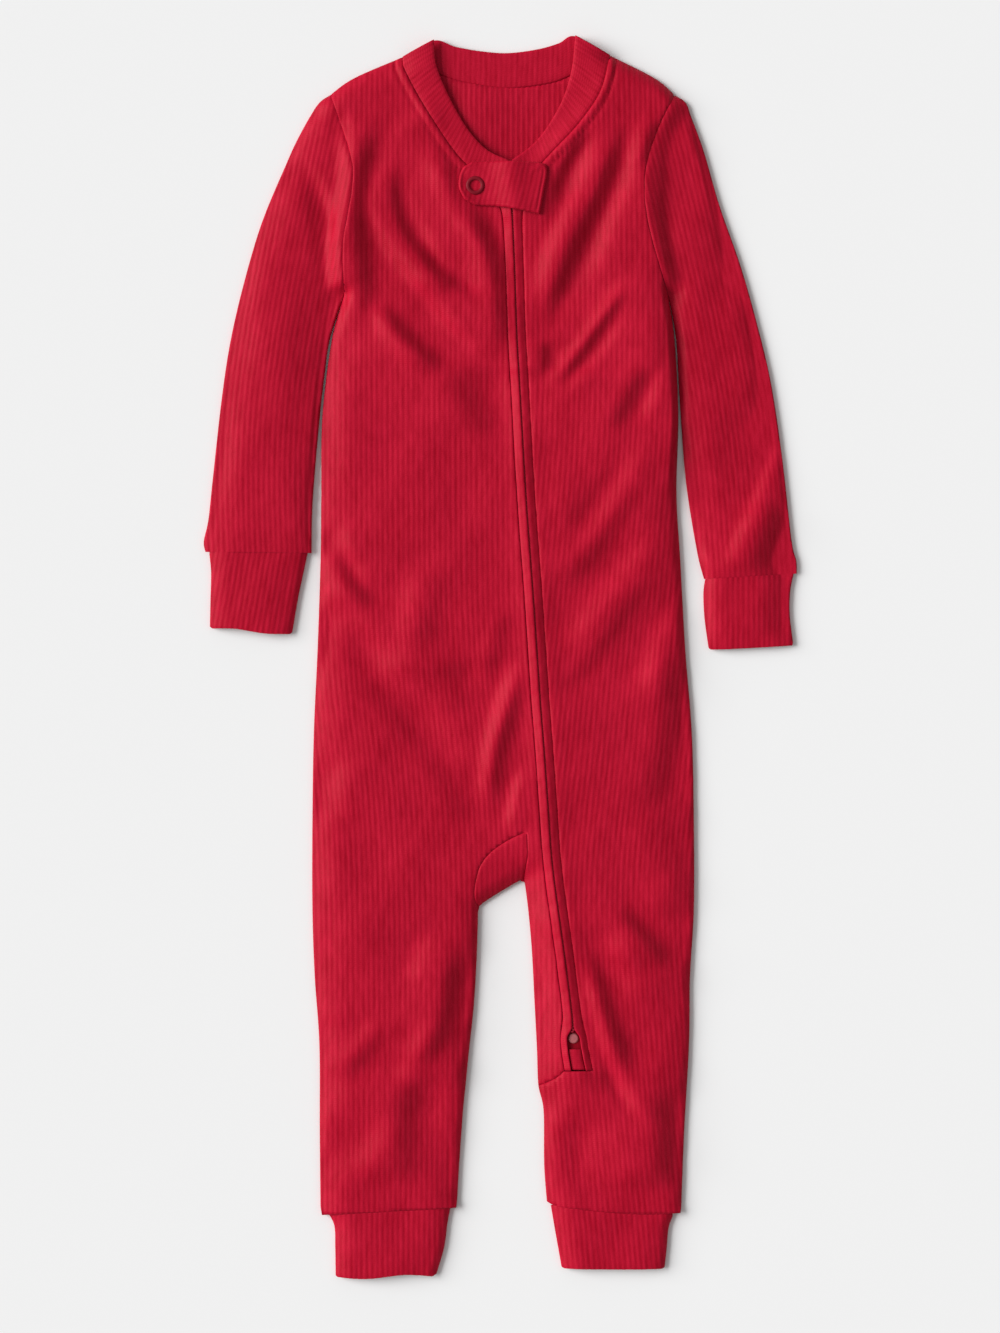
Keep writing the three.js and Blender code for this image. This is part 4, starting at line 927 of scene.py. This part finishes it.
zip_band("zip_band_right", -1)
zip_band("zip_band_left", 1)


def tape_top(x, y):
    return body_top(x, y) + 0.5 - 2.1 - 0.45


across_tape = np.linspace(-1, 1, 7)
tape_ys = zip_levels[:, None]
tape_half = zip_slit(tape_ys) + BAND_WIDTH - 0.6
tape_x = zip_x(tape_ys) + tape_half * np.concatenate([across_tape, across_tape[::-1]])[None, :]
tape_y = tape_ys + 0 * tape_x
tape_z = tape_top(tape_x, tape_y) - np.concatenate([np.zeros(7), np.full(7, 0.8)])[None, :]
tape = make(
    "zip_tape", np.stack([tape_x, tape_y, tape_z], axis=2).reshape(-1, 3), ring_cells(len(zip_levels), 14),
    np.stack([tape_x - zip_x(tape_ys), tape_y], axis=2).reshape(-1, 2) / 4, tape_weave, ["zip_tape"],
)

# The coil: rows of small nylon loops that meet in the middle of the slit
COIL_PITCH = 0.9
loop_across, loop_high = rounded(8, 2)
coil_ys = np.arange(SLIDER_Y - 5, STOP["y"] + STOP["radius"] + 0.5, -COIL_PITCH)
coil_side = np.where(np.arange(len(coil_ys)) % 2, 1.0, -1.0)
coil_t = np.array([0.0, 0.35, 0.7, 1.0])
coil_thick = np.array([0.28, 0.42, 0.42, 0.28])
coil_x = zip_x(coil_ys)[:, None] + coil_side[:, None] * (1.15 - coil_t * 1.5)
coil_z = tape_top(coil_x, coil_ys[:, None] + 0 * coil_x) + 1.3
coil_points = np.stack([
    coil_x[:, :, None] + 0 * loop_high,
    coil_ys[:, None, None] + (coil_thick[:, None] * loop_across * 1.15)[None],
    coil_z[:, :, None] + (coil_thick[:, None] * loop_high)[None],
], axis=3).reshape(-1, 3)
coil_cells = [
    (ring_cells(4, 8) if side < 0 else ring_cells(4, 8)[:, ::-1]) + 32 * i for i, side in enumerate(coil_side)
]
coil = make(
    "zip_coil", coil_points, np.concatenate(coil_cells), np.zeros((len(coil_points), 2)), coil_nylon, [],
    merge=0.001,
)


def turned(name, profile, x, y, z, material, nodes, sides=48):
    """A round piece from its profile of radii and heights, closed at both ends of the profile."""
    angles = np.arange(sides) / sides * 2 * math.pi
    points = [(x + r * math.cos(a), y + r * math.sin(a), z + h) for r, h in profile for a in angles]
    return make(
        name, points, ring_cells(len(profile), sides, ends=profile[0] != profile[-1]), np.zeros((len(points), 2)),
        material, nodes, merge=0.001,
    )


stop_low, stop_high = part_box("zip_bottom_stop")
stop_x = float(zip_x(STOP["y"]))
stop_z = stop_low[2] / MM
stop_profile = [(2.2, 0), (2.55, 0.12), (2.7, 0.5), (2.62, 1.0), (2.3, 1.4), (1.9, 1.58), (1.5, 1.52), (0.9, 1.6), (0.3, 1.66), (0.05, 1.66)]
turned("zip_bottom_stop", stop_profile, stop_x, STOP["y"], stop_z, stop_metal, ["zip_bottom_stop"])

patch_ys = np.linspace(-202, -212.5, 12)[:, None]
patch_across, patch_high = rounded(12, 3)
patch_x = zip_x(patch_ys) + (zip_slit(patch_ys) - 0.3) * patch_across[None, :]
patch_y = patch_ys + 0 * patch_x
patch_z = tape_top(patch_x, patch_y) + 0.9 + 0.7 * patch_high[None, :]
patch = make(
    "zip_end_patch", np.stack([patch_x, patch_y, patch_z], axis=2).reshape(-1, 3), ring_cells(12, 12)[:, ::-1],
    np.stack([patch_x, patch_y], axis=2).reshape(-1, 2) / 10, rib_knit, ["zip_end_patch"],
)

# Snap tab
tab_outline = closed(
    spline([(-17.5, 236), (-20.4, 242), (-20.2, 248), (-18.3, 252.5), (-13.5, 255.6)]),
    spline([(1, 255.8), (21, 254.8), (25, 251.5), (23.4, 240), (21.4, 228.3)]),
    spline([(13, 230.2), (0, 232.4), (-12, 233.2)]),
)
tab_loop = np.concatenate([tab_outline, tab_outline[:1]])


def tab_under(x, y):
    over_body = body_top(x, y) + 0.4 + 1.1 * np.exp(-(((x - zip_x(y)) / 9) ** 2))
    over_collar = np.maximum(over_body, collar_top(x, y) + 0.75)
    return over_body + (over_collar - over_body) * smoothstep((y - 235) / 6)


def tab_top(x, y):
    edge = nearest(tab_loop, x, y)[0]
    stitched = -0.3 * np.exp(-(((edge - 1.9) / 0.5) ** 2))
    snap = np.hypot(x - SNAP["x"], y - SNAP["y"])
    pressed = -0.5 * np.exp(-((snap / 6.5) ** 2))
    return tab_under(x, y) + 0.6 + 1.1 * arc(edge, 1.6) + stitched + pressed


tab = shell("snap_tab", tab_outline, RIB_DRIFT["tab"], tab_top, tab_under, rib_knit, columns=6, row=0.8, relief=0.07)

snap_floor = float(tab_top(np.array([SNAP["x"]]), np.array([SNAP["y"]]))[0]) - 0.1
ring_profile = [(2.9, 0), (2.75, 0.5), (2.9, 0.9), (3.4, 1.1), (4.1, 1.1), (4.65, 0.85), (4.85, 0.4), (4.8, 0.0), (2.9, 0)]
turned("snap_ring", ring_profile, SNAP["x"], SNAP["y"], snap_floor, snap_enamel, ["snap_ring"], 64)

for name, material in (("zip_slider", stop_metal),):
    node = frame["nodes"][name] if isinstance(frame["nodes"], dict) else bpy.data.objects[name]
    node.data.materials.clear()
    node.data.materials.append(material)

# Floor, light and camera
floor_mesh = bpy.data.meshes.new("floor")
floor_mesh.from_pydata([(-6, -6, -0.0006), (6, -6, -0.0006), (6, 6, -0.0006), (-6, 6, -0.0006)], [], [(0, 1, 2, 3)])
floor = bpy.data.objects.new("floor", floor_mesh)
bpy.context.scene.collection.objects.link(floor)
paper = bpy.data.materials.new("paper")
paper.use_nodes = True
socket(paper.node_tree.nodes["Principled BSDF"], "Base Color", (0.9, 0.9, 0.9, 1))
socket(paper.node_tree.nodes["Principled BSDF"], "Roughness", 0.95)
socket(paper.node_tree.nodes["Principled BSDF"], "Specular IOR Level", 0.1)
floor_mesh.materials.append(paper)

scene = bpy.context.scene
scene.view_settings.view_transform = "Standard"
world = bpy.data.worlds.new("studio")
scene.world = world
world.use_nodes = True
world.node_tree.nodes["Background"].inputs["Color"].default_value = (1, 1, 1, 1)
world.node_tree.nodes["Background"].inputs["Strength"].default_value = 0.34


sun_data = bpy.data.lights.new("window", "SUN")
sun_data.energy = 4.1
sun_data.angle = math.radians(44)
sun = bpy.data.objects.new("window", sun_data)
SUN_FROM = Vector((-math.cos(math.radians(12)), math.sin(math.radians(12)), math.tan(math.radians(29))))
sun.rotation_euler = (-SUN_FROM).to_track_quat("-Z", "Y").to_euler()
scene.collection.objects.link(sun)

camera_data = bpy.data.cameras.new("camera")
camera_data.sensor_fit = "VERTICAL"
camera_data.sensor_height = 36
camera_data.lens = 100
camera = bpy.data.objects.new("camera", camera_data)
VIEW_MIDDLE = place(500, 666.5)
VIEW_HALF = 1333 / 2 * PHOTO_MM * MM
camera.location = (
    VIEW_MIDDLE[0] * MM + SHIFT[0], VIEW_MIDDLE[1] * MM + SHIFT[1], VIEW_HALF / (18 / 100) + 0.005,
)
camera_data.clip_end = 50
scene.collection.objects.link(camera)
scene.camera = camera
